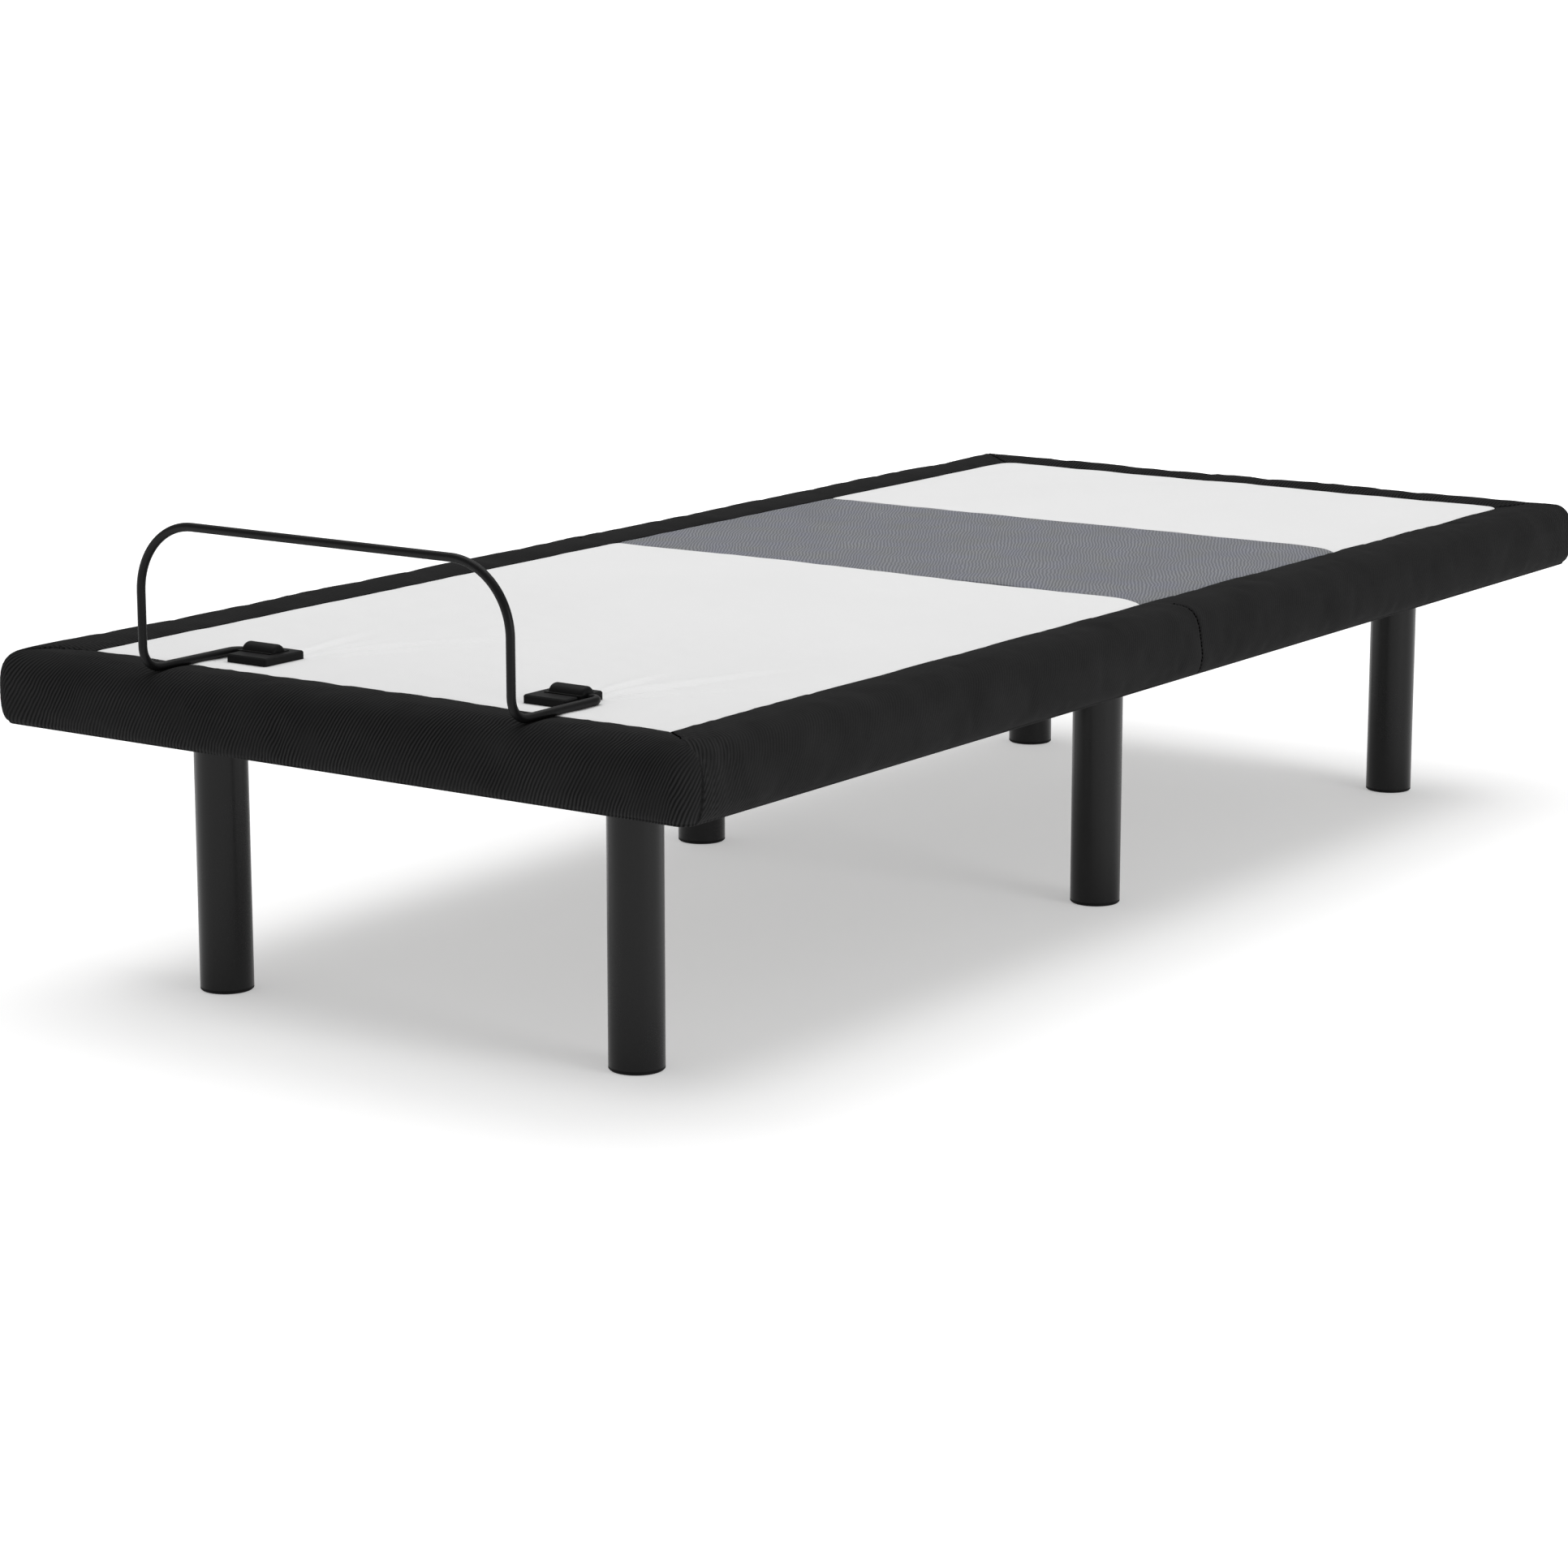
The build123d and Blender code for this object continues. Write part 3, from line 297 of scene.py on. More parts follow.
def station_place(station, insets, radii):
    """Plan point of one station for the insets (side, foot, head) and the corner radii (foot, head)."""
    side, kind, share, fixed = station
    half_y = HALF_Y - insets[0]
    foot_x = -(HALF_X - insets[1])
    head_x = HALF_X - insets[2]
    foot_r, head_r = radii
    if side == "near":
        start, stop, first, last = foot_x + foot_r, head_x - head_r, LONG_FIXED[0], LONG_FIXED[-1]
        line = lambda v: (v, -half_y)
        centre, radius, turn = (head_x - head_r, -half_y + head_r), head_r, -0.5
    elif side == "head":
        start, stop, first, last = -half_y + head_r, half_y - head_r, SHORT_FIXED[0], SHORT_FIXED[-1]
        line = lambda v: (head_x, v)
        centre, radius, turn = (head_x - head_r, half_y - head_r), head_r, 0.0
    elif side == "far":
        start, stop, first, last = head_x - head_r, foot_x + foot_r, LONG_FIXED[-1], LONG_FIXED[0]
        line = lambda v: (v, half_y)
        centre, radius, turn = (foot_x + foot_r, half_y - foot_r), foot_r, 0.5
    else:
        start, stop, first, last = half_y - foot_r, -half_y + foot_r, SHORT_FIXED[-1], SHORT_FIXED[0]
        line = lambda v: (foot_x, v)
        centre, radius, turn = (foot_x + foot_r, -half_y + foot_r), foot_r, 1.0
    if kind == "start":
        return line(start + (first - start) * share)
    if kind == "fixed":
        return line(fixed)
    if kind == "stop":
        return line(last + (stop - last) * share)
    angle = math.pi * (turn + share / 2)
    return centre[0] + radius * math.cos(angle), centre[1] + radius * math.sin(angle)


def grid_normals(grid):
    """Outward normals of a grid that closes on itself both ways."""
    u = np.roll(grid, -1, axis=0) - np.roll(grid, 1, axis=0)
    v = np.roll(grid, -1, axis=1) - np.roll(grid, 1, axis=1)
    normal = np.cross(v, u)
    return normal / np.maximum(np.linalg.norm(normal, axis=2, keepdims=True), 1e-9)


def distances(grid, axis):
    """Distance along a grid's lines from their start."""
    steps = np.linalg.norm(np.diff(grid, axis=axis), axis=2)
    zero = np.zeros_like(np.take(steps, [0], axis=axis))
    return np.cumsum(np.concatenate([zero, steps], axis=axis), axis=axis)


class Border:
    """The whole padded border as one grid: stations round the bed by points of the profile."""

    def __init__(self):
        self.stations = stations()
        profile = border_profile()
        grid = np.zeros((len(self.stations), len(profile), 3))
        for j, (share, inset, z) in enumerate(profile):
            flat = CREST_INSET if j < SEAM_ROWS else inset
            insets = [flat + (seam - flat) * share for seam in (SIDE_INSET, FOOT_INSET, HEAD_INSET)]
            radii = [corner_radius(flat, share, direction) for direction in (-1, 1)]
            for i, station in enumerate(self.stations):
                x, y = station_place(station, insets, radii)
                if side_is_long(station):
                    sign = -1 if station[0] == "near" else 1
                    y -= sign * float(side_wave(np.array(x), sign)) * share
                elif station[1] != "arc":
                    direction = 1 if station[0] == "head" else -1
                    x -= direction * float(end_wave(np.array(y), direction)) * share
                grid[i, j] = (x, y, z)
        self.grid = grid
        self.across = distances(grid, 1)
        self.along = self.cloth_along()
        self.corner = self.corner_distance()
        self.normal = None         # make_stitching works it out, once the shape is final

    def cloth_along(self):
        """The cloth's own coordinate round the bed: it follows each side's line and breaks at the mitres."""
        x, y = self.grid[..., 0], self.grid[..., 1]
        arc = distances(self.grid, 0)
        along = np.zeros_like(x)
        half = HALF_X + HALF_Y
        lines = {
            "near": lambda i: x[i],
            "head": lambda i: half + y[i],
            "far": lambda i: 2 * half - x[i],
            "foot": lambda i: 3 * half - y[i],
        }
        order = list(lines)
        for i, (side, kind, share, _) in enumerate(self.stations):
            if kind != "arc":
                along[i] = lines[side](i)
                continue
            first = max(k for k in range(i) if self.stations[k][1] != "arc")
            rest = [k for k in range(i, len(self.stations)) if self.stations[k][1] != "arc"]
            if share <= 0.5 or not rest:
                along[i] = lines[side](first) + arc[i] - arc[first]
            else:
                following = order[(order.index(side) + 1) % 4]
                along[i] = lines[following](rest[0]) - (arc[rest[0]] - arc[i])
        return along

    def corner_distance(self):
        """Distance along each row from the middle of the nearest corner."""
        arc = distances(self.grid, 0)
        close = np.linalg.norm(self.grid[0] - self.grid[-1], axis=1)
        length = arc[-1] + close
        middles = [i for i, s in enumerate(self.stations) if s[1] == "arc" and s[2] == 0.5]
        gaps = np.stack([np.minimum(np.abs(arc - arc[i]), length - np.abs(arc - arc[i])) for i in middles])
        return gaps.min(axis=0)


def side_is_long(station):
    """Whether a station is on a long side, off the corners."""
    return station[0] in ("near", "far") and station[1] != "arc"


def zigzag(place, pitch):
    """A triangle wave from -1 to 1."""
    return 2 * np.abs(2 * (place / pitch % 1.0) - 1) - 1


def skirt_seam_shift(across):
    """How far a long side's sewn seam wanders from its straight line, by the distance down the border."""
    down = np.clip((across - 0.040) / 0.085, 0, 1)
    bow = -0.0045 * np.sin(np.pi * down**1.3)
    return bow + zigzag(across, 0.009) * (0.0011 - 0.0007 * down) * smooth((across - 0.036) / 0.006)


def dress_border(border):
    """Sculpts the border: soft waves, sewn grooves, gathers at the corners and dents under the bar."""
    grid = border.grid
    x, y, z = grid[..., 0], grid[..., 1], grid[..., 2]
    across, corner = border.across, border.corner
    skin = (np.arange(grid.shape[1]) < SKIN_ROWS)[None, :] * np.ones_like(x)
    on_side = np.array([side_is_long(s) for s in border.stations])[:, None] * skin
    normal = grid_normals(grid)
    free = smooth(across / 0.012) * skin
    split = smooth((np.abs(x - SPLIT_X) - 0.004) / 0.03)
    lower = smooth((z - SKIRT_BOTTOM) / 0.010)
    place = border.along
    push = 0.00075 * ripples(place, across * 1.6, 21, 16, 0.07, 0.34) * free * (0.3 + 0.7 * lower) * split
    push += 0.00022 * ripples(place, across, 22, 14, 0.02, 0.07) * free * split
    push -= GROOVE * np.exp(-across / 0.003) * skin
    fade = 1 - 0.75 * smooth((across - 0.05) / 0.04)
    push -= MITRE_DEPTH * np.exp(-((corner / MITRE_WIDTH) ** 2)) * smooth(across / 0.006) * fade * skin
    gathers = np.sin(across * 2 * math.pi / GATHER_PITCH) * np.exp(-((corner / 0.009) ** 2)) * fade
    push += 0.0005 * gathers * free
    gap = np.abs(x - SKIRT_SEAM_X)
    sewn = smooth((across - 0.038) / 0.008) * on_side
    push -= SKIRT_SEAM_DEPTH * np.exp(-((gap / SKIRT_SEAM_WIDTH) ** 2)) * sewn
    push += 0.0004 * np.exp(-(((gap - 0.007) / 0.005) ** 2)) * sewn
    grid = grid + normal * push[..., None]
    grid[..., 0] += skirt_seam_shift(across) * bump(gap / 0.03) * sewn
    arm_y = BAR_HIGH.y - BAR_RADIUS
    under_bar = bump((np.abs(y) - arm_y) / 0.018) * smooth((x - BAR_LOW.x + 0.004) / 0.01)
    under_bar *= (x < BAR_ZONE_X) * skin
    grid[..., 2] -= np.maximum(grid[..., 2] - BAR_LOW.z + 0.0006, 0) * under_bar
    dent = bump((x + HALF_X - 0.014) / 0.03) * bump((np.abs(y) - arm_y) / 0.024)
    dent *= smooth((z - 0.36) / 0.02) * skin
    grid[..., 2] -= 0.0016 * dent
    border.grid = grid


def border_piece(name, border, first, last, material):
    """The stations from first to last as one closed piece, capped at both ends."""
    count = len(border.stations)
    picked = [i % count for i in range(first, last + 1 if last >= first else last + count + 1)]
    part = border.grid[picked]
    n, m = part.shape[:2]
    faces = []
    for i in range(n - 1):
        for j in range(m):
            k = (j + 1) % m
            faces.append((i * m + j, i * m + k, (i + 1) * m + k, (i + 1) * m + j))
    faces.append(tuple(range(m - 1, -1, -1)))
    faces.append(tuple((n - 1) * m + j for j in range(m)))
    piece = new_piece(name, part.reshape(-1, 3), faces, material)
    sides = np.array([side_is_long(border.stations[i]) for i in picked])[:, None]
    # weaker ribs along the long sides, away from the corners: less bump and less painted shade in their
    # grooves
    rib_relief_and_shade = np.where(sides, 0.22 + 0.78 * np.exp(-border.corner[picked] / 0.06), 1.0)
    set_weave(piece, border.along[picked], border.across[picked], rib_relief_and_shade)
    sharpen(piece)
    return piece


# ---- panels


CREASES = [  # aim about +X in radians, length, height
    (0.50, 0.13, 0.0020),
    (0.26, 0.22, 0.0032),
    (0.02, 0.22, 0.0022),
    (-0.16, 0.34, 0.0036),
    (-0.50, 0.26, 0.0022),
]


def bracket_press(x, y, z):
    """Presses the padding down to the deck under each bracket and pulls creases out from it."""
    for low, high in BRACKETS:
        cx, cy = (low.x + high.x) / 2, (low.y + high.y) / 2
        dx = np.maximum(np.abs(x - cx) - (high.x - low.x) / 2, 0)
        dy = np.maximum(np.abs(y - cy) - (high.y - low.y) / 2, 0)
        away = np.hypot(dx, dy)
        z = z - (z - (DECK_TOP - 0.0002)) * np.exp(-((away / 0.014) ** 2))
        corner_x, corner_y = high.x - 0.02, low.y + 0.012
        reach = np.hypot(x - corner_x, y - corner_y)
        angle = np.arctan2(y - corner_y, x - corner_x)
        for k, (aim, length, size) in enumerate(CREASES):
            off = reach * np.sin(angle - aim + (0.9 + 0.5 * np.sin(9 * cy + 2 * k)) * reach)
            off = np.where(np.cos(angle - aim) > 0, off, 1.0)
            width = 0.0045 + 0.016 * reach
            fade = smooth(away / 0.02) * bump(reach / length)
            z = z + size * fade * (off / width) * np.exp(0.5 - (off / width) ** 2 / 2)
    return z


def panel_piece(name, foot_edge, head_edge, material, seed, rows):
    """A padded panel between two edge lines, each a function of Y. rows is the number of steps along X."""
    width = HALF_Y - SIDE_INSET
    t = np.linspace(-1, 1, PANEL_COLUMNS + 1)
    s = np.linspace(0, 1, rows + 1)
    nominal = t * width
    x = foot_edge(nominal)[None, :] * (1 - s[:, None]) + head_edge(nominal)[None, :] * s[:, None]
    y_low = panel_y(x, -1)
    y_high = panel_y(x, 1)
    y = np.where(t[None, :] < 0, -t[None, :] * y_low, t[None, :] * y_high)
    to_side = width - np.abs(t[None, :]) * width + np.zeros_like(x)
    to_foot = np.abs(x - foot_edge(nominal)[None, :])
    to_head = np.abs(head_edge(nominal)[None, :] - x)
    z = PANEL_Z + 0.0007 * ripples(x, y, seed, 18, 0.10, 0.45) * smooth(to_side / 0.05)
    z = z + 0.00022 * ripples(x, y, seed + 50, 18, 0.025, 0.09)
    sewn = [to_side]
    if name != "white_panel_middle":
        sewn.append(to_foot)
    if name != "white_panel_foot":
        sewn.append(to_head)
    for edge in sewn:
        z = z - GROOVE * np.exp(-edge / PANEL_SEAM_WIDTH)
    z = bracket_press(x, y, z)
    if name in ("white_panel_foot", "white_panel_middle"):
        z = settle_split(z, x)
    n, m = x.shape
    top = np.stack([x, y, z], axis=-1).reshape(-1, 3)
    bottom = np.stack([x, y, np.full_like(x, BOARD_TOP + CLOTH_GAP)], axis=-1).reshape(-1, 3)
    half = n * m
    faces = []
    for i in range(n - 1):
        for j in range(m - 1):
            a, b, c, d = i * m + j, (i + 1) * m + j, (i + 1) * m + j + 1, i * m + j + 1
            faces.append((a, b, c, d))
            faces.append((half + d, half + c, half + b, half + a))
    rim = list(range(m)) + [i * m + m - 1 for i in range(1, n)]
    rim += [(n - 1) * m + j for j in range(m - 2, -1, -1)] + [i * m for i in range(n - 2, 0, -1)]
    for k, a in enumerate(rim):
        b = rim[(k + 1) % len(rim)]
        faces.append((a, b, half + b, half + a))
    piece = new_piece(name, np.concatenate([top, bottom]), faces, material)
    set_weave(piece, np.tile(x.reshape(-1), 2), np.tile(y.reshape(-1), 2))
    sharpen(piece)
    return piece


def split_height(y):
    """Height of the white panel where its two halves meet: waves across the bed only."""
    to_side = HALF_Y - SIDE_INSET - np.abs(y)
    return PANEL_Z + 0.0004 * waves(y, 31, 5, 0.12, 0.5) - GROOVE * np.exp(-to_side / PANEL_SEAM_WIDTH)


def settle_split(z, x):
    """Brings the rows near the split to one height line, level along X, so that both halves meet unseen."""
    line = split_height(np.linspace(-1, 1, z.shape[1]) * (HALF_Y - SIDE_INSET))
    weight = 1 - smooth((np.abs(x - SPLIT_X) - 0.012) / 0.05)
    return z * (1 - weight) + line[None, :] * weight


# ---- node materials


class Nodes:
    """A short way to write a node tree."""

    def __init__(self, name):
        self.material = bpy.data.materials.new(name)
        self.material.use_nodes = True
        self.tree = self.material.node_tree
        self.tree.nodes.clear()
        self.output = self.add("ShaderNodeOutputMaterial")
        self.shader = self.add("ShaderNodeBsdfPrincipled")
        self.link(self.shader.outputs["BSDF"], self.output.inputs["Surface"])

    def add(self, kind, **settings):
        node = self.tree.nodes.new(kind)
        for key, value in settings.items():
            setattr(node, key, value)
        return node

    def link(self, source, target):
        self.tree.links.new(source, target)

    def math(self, operation, a, b=None):
        node = self.add("ShaderNodeMath", operation=operation)
        for socket, value in zip(node.inputs, (a, b)):
            if value is None:
                continue
            if isinstance(value, (int, float)):
                socket.default_value = value
            else:
                self.link(value, socket)
        return node.outputs[0]

    def noise(self, scale, detail=2.0, vector=None, roughness=0.5):
        node = self.add("ShaderNodeTexNoise")
        node.inputs["Scale"].default_value = scale
        node.inputs["Detail"].default_value = detail
        node.inputs["Roughness"].default_value = roughness
        if vector is not None:
            self.link(vector, node.inputs["Vector"])
        return node.outputs["Fac"]

    def split(self, vector):
        """The X, Y and Z of a vector."""
        node = self.add("ShaderNodeSeparateXYZ")
        self.link(vector, node.inputs[0])
        return node.outputs

    def length(self, vector):
        node = self.add("ShaderNodeVectorMath", operation="LENGTH")
        self.link(vector, node.inputs[0])
        return node.outputs["Value"]

    def stretched(self, vector, scale):
        """A vector scaled by three numbers."""
        node = self.add("ShaderNodeMapping")
        node.inputs["Scale"].default_value = scale
        self.link(vector, node.inputs["Vector"])
        return node.outputs[0]

    def between(self, factor, low, high):
        """A colour between two colours or two outputs, by a factor from 0 to 1."""
        node = self.add("ShaderNodeMix", data_type="RGBA")
        self.link(factor, node.inputs[0])
        for socket, colour in ((node.inputs[6], low), (node.inputs[7], high)):
            if isinstance(colour, tuple):
                socket.default_value = (*colour, 1)
            else:
                self.link(colour, socket)
        return node.outputs[2]

    def span(self, factor, low, high):
        """A number between two, by a factor from 0 to 1."""
        node = self.add("ShaderNodeMapRange")
        self.link(factor, node.inputs["Value"])
        node.inputs["To Min"].default_value = low
        node.inputs["To Max"].default_value = high
        return node.outputs["Result"]

    def ramp(self, value, start, stop, low, high):
        """A number that goes softly from low at start to high at stop."""
        node = self.add("ShaderNodeMapRange", interpolation_type="SMOOTHSTEP")
        self.link(value, node.inputs["Value"])
        for name, number in (("From Min", start), ("From Max", stop), ("To Min", low), ("To Max", high)):
            node.inputs[name].default_value = number
        return node.outputs["Result"]

    def bump(self, height, distance, strength, normal=None):
        node = self.add("ShaderNodeBump")
        node.inputs["Distance"].default_value = distance
        node.inputs["Strength"].default_value = strength
        self.link(height, node.inputs["Height"])
        if normal is not None:
            self.link(normal, node.inputs["Normal"])
        return node.outputs["Normal"]

    def set(self, **values):
        for name, value in values.items():
            self.shader.inputs[name.replace("_", " ")].default_value = value

    def drive(self, name, source):
        self.link(source, self.shader.inputs[name])


def weave_axes(nodes):
    """What set_weave wrote: along, across and the ribs' relief and painted groove shade as outputs, and the
    three as a vector.
    """
    weave = nodes.add("ShaderNodeAttribute", attribute_name="weave").outputs["Vector"]
    along, across, rib_relief_and_shade = nodes.split(weave)
    return along, across, rib_relief_and_shade, weave


KNIT_PITCH = 0.0047  # ribs of the black knit
KNIT_LEAN = 0.555  # sideways per distance down the border
KNIT_FACE = 0.066  # from the seam to where the ribs begin to lean
WHITE_PITCH = 0.0022
GREY_PITCH = 0.0041
GREY_SLANT = math.radians(30)
PLY_PAIR = 0.004  # a light and a dark layer together


def ribs(nodes, place, pitch, wobble, wobble_size):
    """Fine ribs across a coordinate, bent by a noise. 0 to 1."""
    bent = nodes.math("ADD", place, nodes.math("MULTIPLY", nodes.math("SUBTRACT", wobble, 0.5), wobble_size))
    wave = nodes.math("SINE", nodes.math("MULTIPLY", bent, 2 * math.pi / pitch))
    return nodes.math("ADD", nodes.math("MULTIPLY", wave, 0.5), 0.5)


def black_knit():
    """Charcoal knit of the border: leaning fine ribs whose grooves carry a painted shade in the colour, a
    soft mottle and a dull surface.
    """
    nodes = Nodes("black_knit")
    along, across, rib_relief_and_shade, weave = weave_axes(nodes)
    down_face = nodes.math("MAXIMUM", nodes.math("SUBTRACT", across, KNIT_FACE), 0.0)
    lean = nodes.math("MULTIPLY", down_face, KNIT_LEAN)
    wobble = nodes.noise(34.0, 2.0, weave)
    rib = ribs(nodes, nodes.math("ADD", along, lean), KNIT_PITCH, wobble, 0.0042)
    patches = nodes.noise(24.0, 2.0, weave)
    strength = nodes.span(nodes.math("MULTIPLY", nodes.math("SUBTRACT", patches, 0.3), 2.2), 0.3, 1.0)
    strength = nodes.math("MULTIPLY", strength, rib_relief_and_shade)
    rib_soft = nodes.math("MULTIPLY", nodes.math("SUBTRACT", rib, 0.5), strength)
    fibre = nodes.noise(900.0, 2.0, weave)
    mottle = nodes.noise(14.0, 3.0, weave)
    # the ribs' grooves are painted darker here, a painted shade, scaled by the ribs' relief and shade value
    tone = nodes.math("ADD", nodes.math("MULTIPLY", rib_soft, 0.95), nodes.math("MULTIPLY", fibre, 0.3))
    tone = nodes.math("ADD", tone, nodes.math("MULTIPLY", mottle, 0.4))
    nodes.drive("Base Color", nodes.between(tone, (0.0052, 0.0052, 0.0053), (0.0325, 0.0325, 0.0328)))
    nodes.drive("Roughness", nodes.span(fibre, 0.88, 0.99))
    nodes.set(Specular_IOR_Level=0.06, Sheen_Weight=0.01, Sheen_Roughness=0.5)
    rough = nodes.bump(rib_soft, 0.0009, 0.9)
    nodes.drive("Normal", nodes.bump(fibre, 0.0003, 0.3, rough))
    return nodes.material


def white_knit():
    """Plain white stretch cloth with a very fine weave."""
    nodes = Nodes("white_knit")
    along, across, _, weave = weave_axes(nodes)
    wobble = nodes.noise(30.0, 2.0, weave)
    warp = ribs(nodes, along, WHITE_PITCH, wobble, 0.002)
    weft = ribs(nodes, across, WHITE_PITCH, wobble, 0.002)
    cross = nodes.math("MULTIPLY", warp, weft)
    fibre = nodes.noise(700.0, 2.0, weave)
    mottle = nodes.noise(4.0, 3.0, weave)
    tone = nodes.math("ADD", nodes.math("MULTIPLY", cross, 0.3), nodes.math("MULTIPLY", fibre, 0.2))
    tone = nodes.math("ADD", tone, nodes.math("MULTIPLY", mottle, 0.5))
    nodes.drive("Base Color", nodes.between(tone, (0.83, 0.83, 0.83), (0.90, 0.90, 0.90)))
    nodes.drive("Roughness", nodes.span(fibre, 0.80, 0.95))
    nodes.set(Specular_IOR_Level=0.25, Sheen_Weight=0.06, Sheen_Roughness=0.5)
    rough = nodes.bump(cross, 0.0003, 0.3)
    nodes.drive("Normal", nodes.bump(fibre, 0.0002, 0.25, rough))
    return nodes.material


def grey_knit():
    """Grey stretch knit of the middle band, with fine wavy ribs that run slantwise."""
    nodes = Nodes("grey_knit")
    along, across, _, weave = weave_axes(nodes)
    place = nodes.math("SUBTRACT", nodes.math("MULTIPLY", across, math.cos(GREY_SLANT)),
                       nodes.math("MULTIPLY", along, math.sin(GREY_SLANT)))
    wobble = nodes.noise(16.0, 2.0, weave)
    fine_wobble = nodes.noise(60.0, 1.0, weave)
    bent = nodes.math("ADD", place, nodes.math("MULTIPLY", fine_wobble, 0.0034))
    rib = ribs(nodes, bent, GREY_PITCH, wobble, 0.014)
    fibre = nodes.noise(800.0, 2.0, weave)
    hue = nodes.noise(22.0, 1.0, weave)
    patches = nodes.noise(10.0, 2.0, weave)
    shown = nodes.math("MULTIPLY", rib, nodes.span(patches, 0.35, 1.0))
    tone = nodes.math("ADD", nodes.math("MULTIPLY", shown, 0.8), nodes.math("MULTIPLY", fibre, 0.25))
    cool = nodes.between(tone, (0.112, 0.117, 0.146), (0.300, 0.308, 0.350))
    plain = nodes.between(tone, (0.114, 0.118, 0.126), (0.302, 0.309, 0.318))
    nodes.drive("Base Color", nodes.between(nodes.span(hue, -0.6, 1.6), plain, cool))
    nodes.drive("Roughness", nodes.span(fibre, 0.78, 0.94))
    nodes.set(Specular_IOR_Level=0.25, Sheen_Weight=0.08, Sheen_Roughness=0.5)
    rough = nodes.bump(shown, 0.0008, 0.7)
    nodes.drive("Normal", nodes.bump(fibre, 0.0003, 0.3, rough))
    return nodes.material


def object_vector(nodes):
    """The place on the object, in metres."""
    return nodes.add("ShaderNodeTexCoord").outputs["Object"]


def painted_metal(name, low, high, rough_low, rough_high, grain=900.0, metallic=0.0, specular=0.5):
    """A hard surface or thread, with a fine texture, faint marks and uneven gloss."""
    nodes = Nodes(name)
    place = object_vector(nodes)
    fine = nodes.noise(grain, 3.0, place)
    broad = nodes.noise(11.0, 4.0, place)
    tone = nodes.math("ADD", nodes.math("MULTIPLY", fine, 0.35), nodes.math("MULTIPLY", broad, 0.65))
    nodes.drive("Base Color", nodes.between(tone, low, high))
    nodes.drive("Roughness", nodes.span(tone, rough_low, rough_high))
    nodes.set(Metallic=metallic, Specular_IOR_Level=specular)
    nodes.drive("Normal", nodes.bump(fine, 0.0002, 0.25))
    return nodes.material


def plywood():
    """Plywood: long grain on the faces, thin layers on the edges."""
    nodes = Nodes("plywood")
    place = object_vector(nodes)
    grain = nodes.noise(6.0, 6.0, nodes.stretched(place, (1.2, 14.0, 30.0)), 0.6)
    pore = nodes.noise(5.0, 2.0, nodes.stretched(place, (8.0, 180.0, 180.0)))
    tone = nodes.math("ADD", nodes.math("MULTIPLY", grain, 0.75), nodes.math("MULTIPLY", pore, 0.25))
    face = nodes.between(tone, (0.235, 0.222, 0.207), (0.40, 0.382, 0.358))
    height = nodes.math("MULTIPLY", nodes.split(place)[2], 2 * math.pi / PLY_PAIR)
    layer = nodes.math("GREATER_THAN", nodes.math("SINE", height), 0.0)
    edge = nodes.between(layer, (0.16, 0.148, 0.134), (0.37, 0.35, 0.325))
    facing = nodes.split(nodes.add("ShaderNodeNewGeometry").outputs["True Normal"])
    flat = nodes.math("GREATER_THAN", nodes.math("ABSOLUTE", facing[2]), 0.6)
    nodes.drive("Base Color", nodes.between(flat, edge, face))
    nodes.drive("Roughness", nodes.span(tone, 0.55, 0.75))
    nodes.drive("Normal", nodes.bump(pore, 0.0004, 0.3))
    return nodes.material


BLACK_KNIT = black_knit()
WHITE_KNIT = white_knit()
GREY_KNIT = grey_knit()
PLYWOOD = plywood()
BLACK_PAINT = painted_metal(
    "black_powder_coat", (0.0032, 0.0032, 0.0034), (0.0060, 0.0060, 0.0062), 0.24, 0.32, specular=0.24)
BAR_PAINT = painted_metal(
    "black_bar_paint", (0.0028, 0.0028, 0.0030), (0.0055, 0.0055, 0.0058), 0.34, 0.48, specular=0.16)
THREAD = painted_metal(
    "black_thread", (0.0006, 0.0006, 0.0006), (0.0016, 0.0016, 0.0016), 0.85, 0.98, specular=0.02)
ZINC = painted_metal(
    "zinc_steel", (0.42, 0.42, 0.40), (0.62, 0.62, 0.60), 0.30, 0.48, grain=500.0, metallic=1.0)
BRIGHT_STEEL = painted_metal(
    "bright_steel", (0.52, 0.52, 0.52), (0.66, 0.66, 0.66), 0.18, 0.32, grain=700.0, metallic=1.0)
BLACK_PLASTIC = painted_metal(
    "black_plastic", (0.0022, 0.0022, 0.0023), (0.0050, 0.0050, 0.0052), 0.45, 0.60,
    grain=1400.0, specular=0.12)
GREY_MOTOR = painted_metal(
    "motor_case", (0.035, 0.036, 0.038), (0.055, 0.056, 0.058), 0.35, 0.50, metallic=0.6)
RUBBER = painted_metal(
    "black_rubber", (0.018, 0.018, 0.018), (0.030, 0.030, 0.030), 0.75, 0.90, grain=600.0)


# ---- carried-over CAD nodes

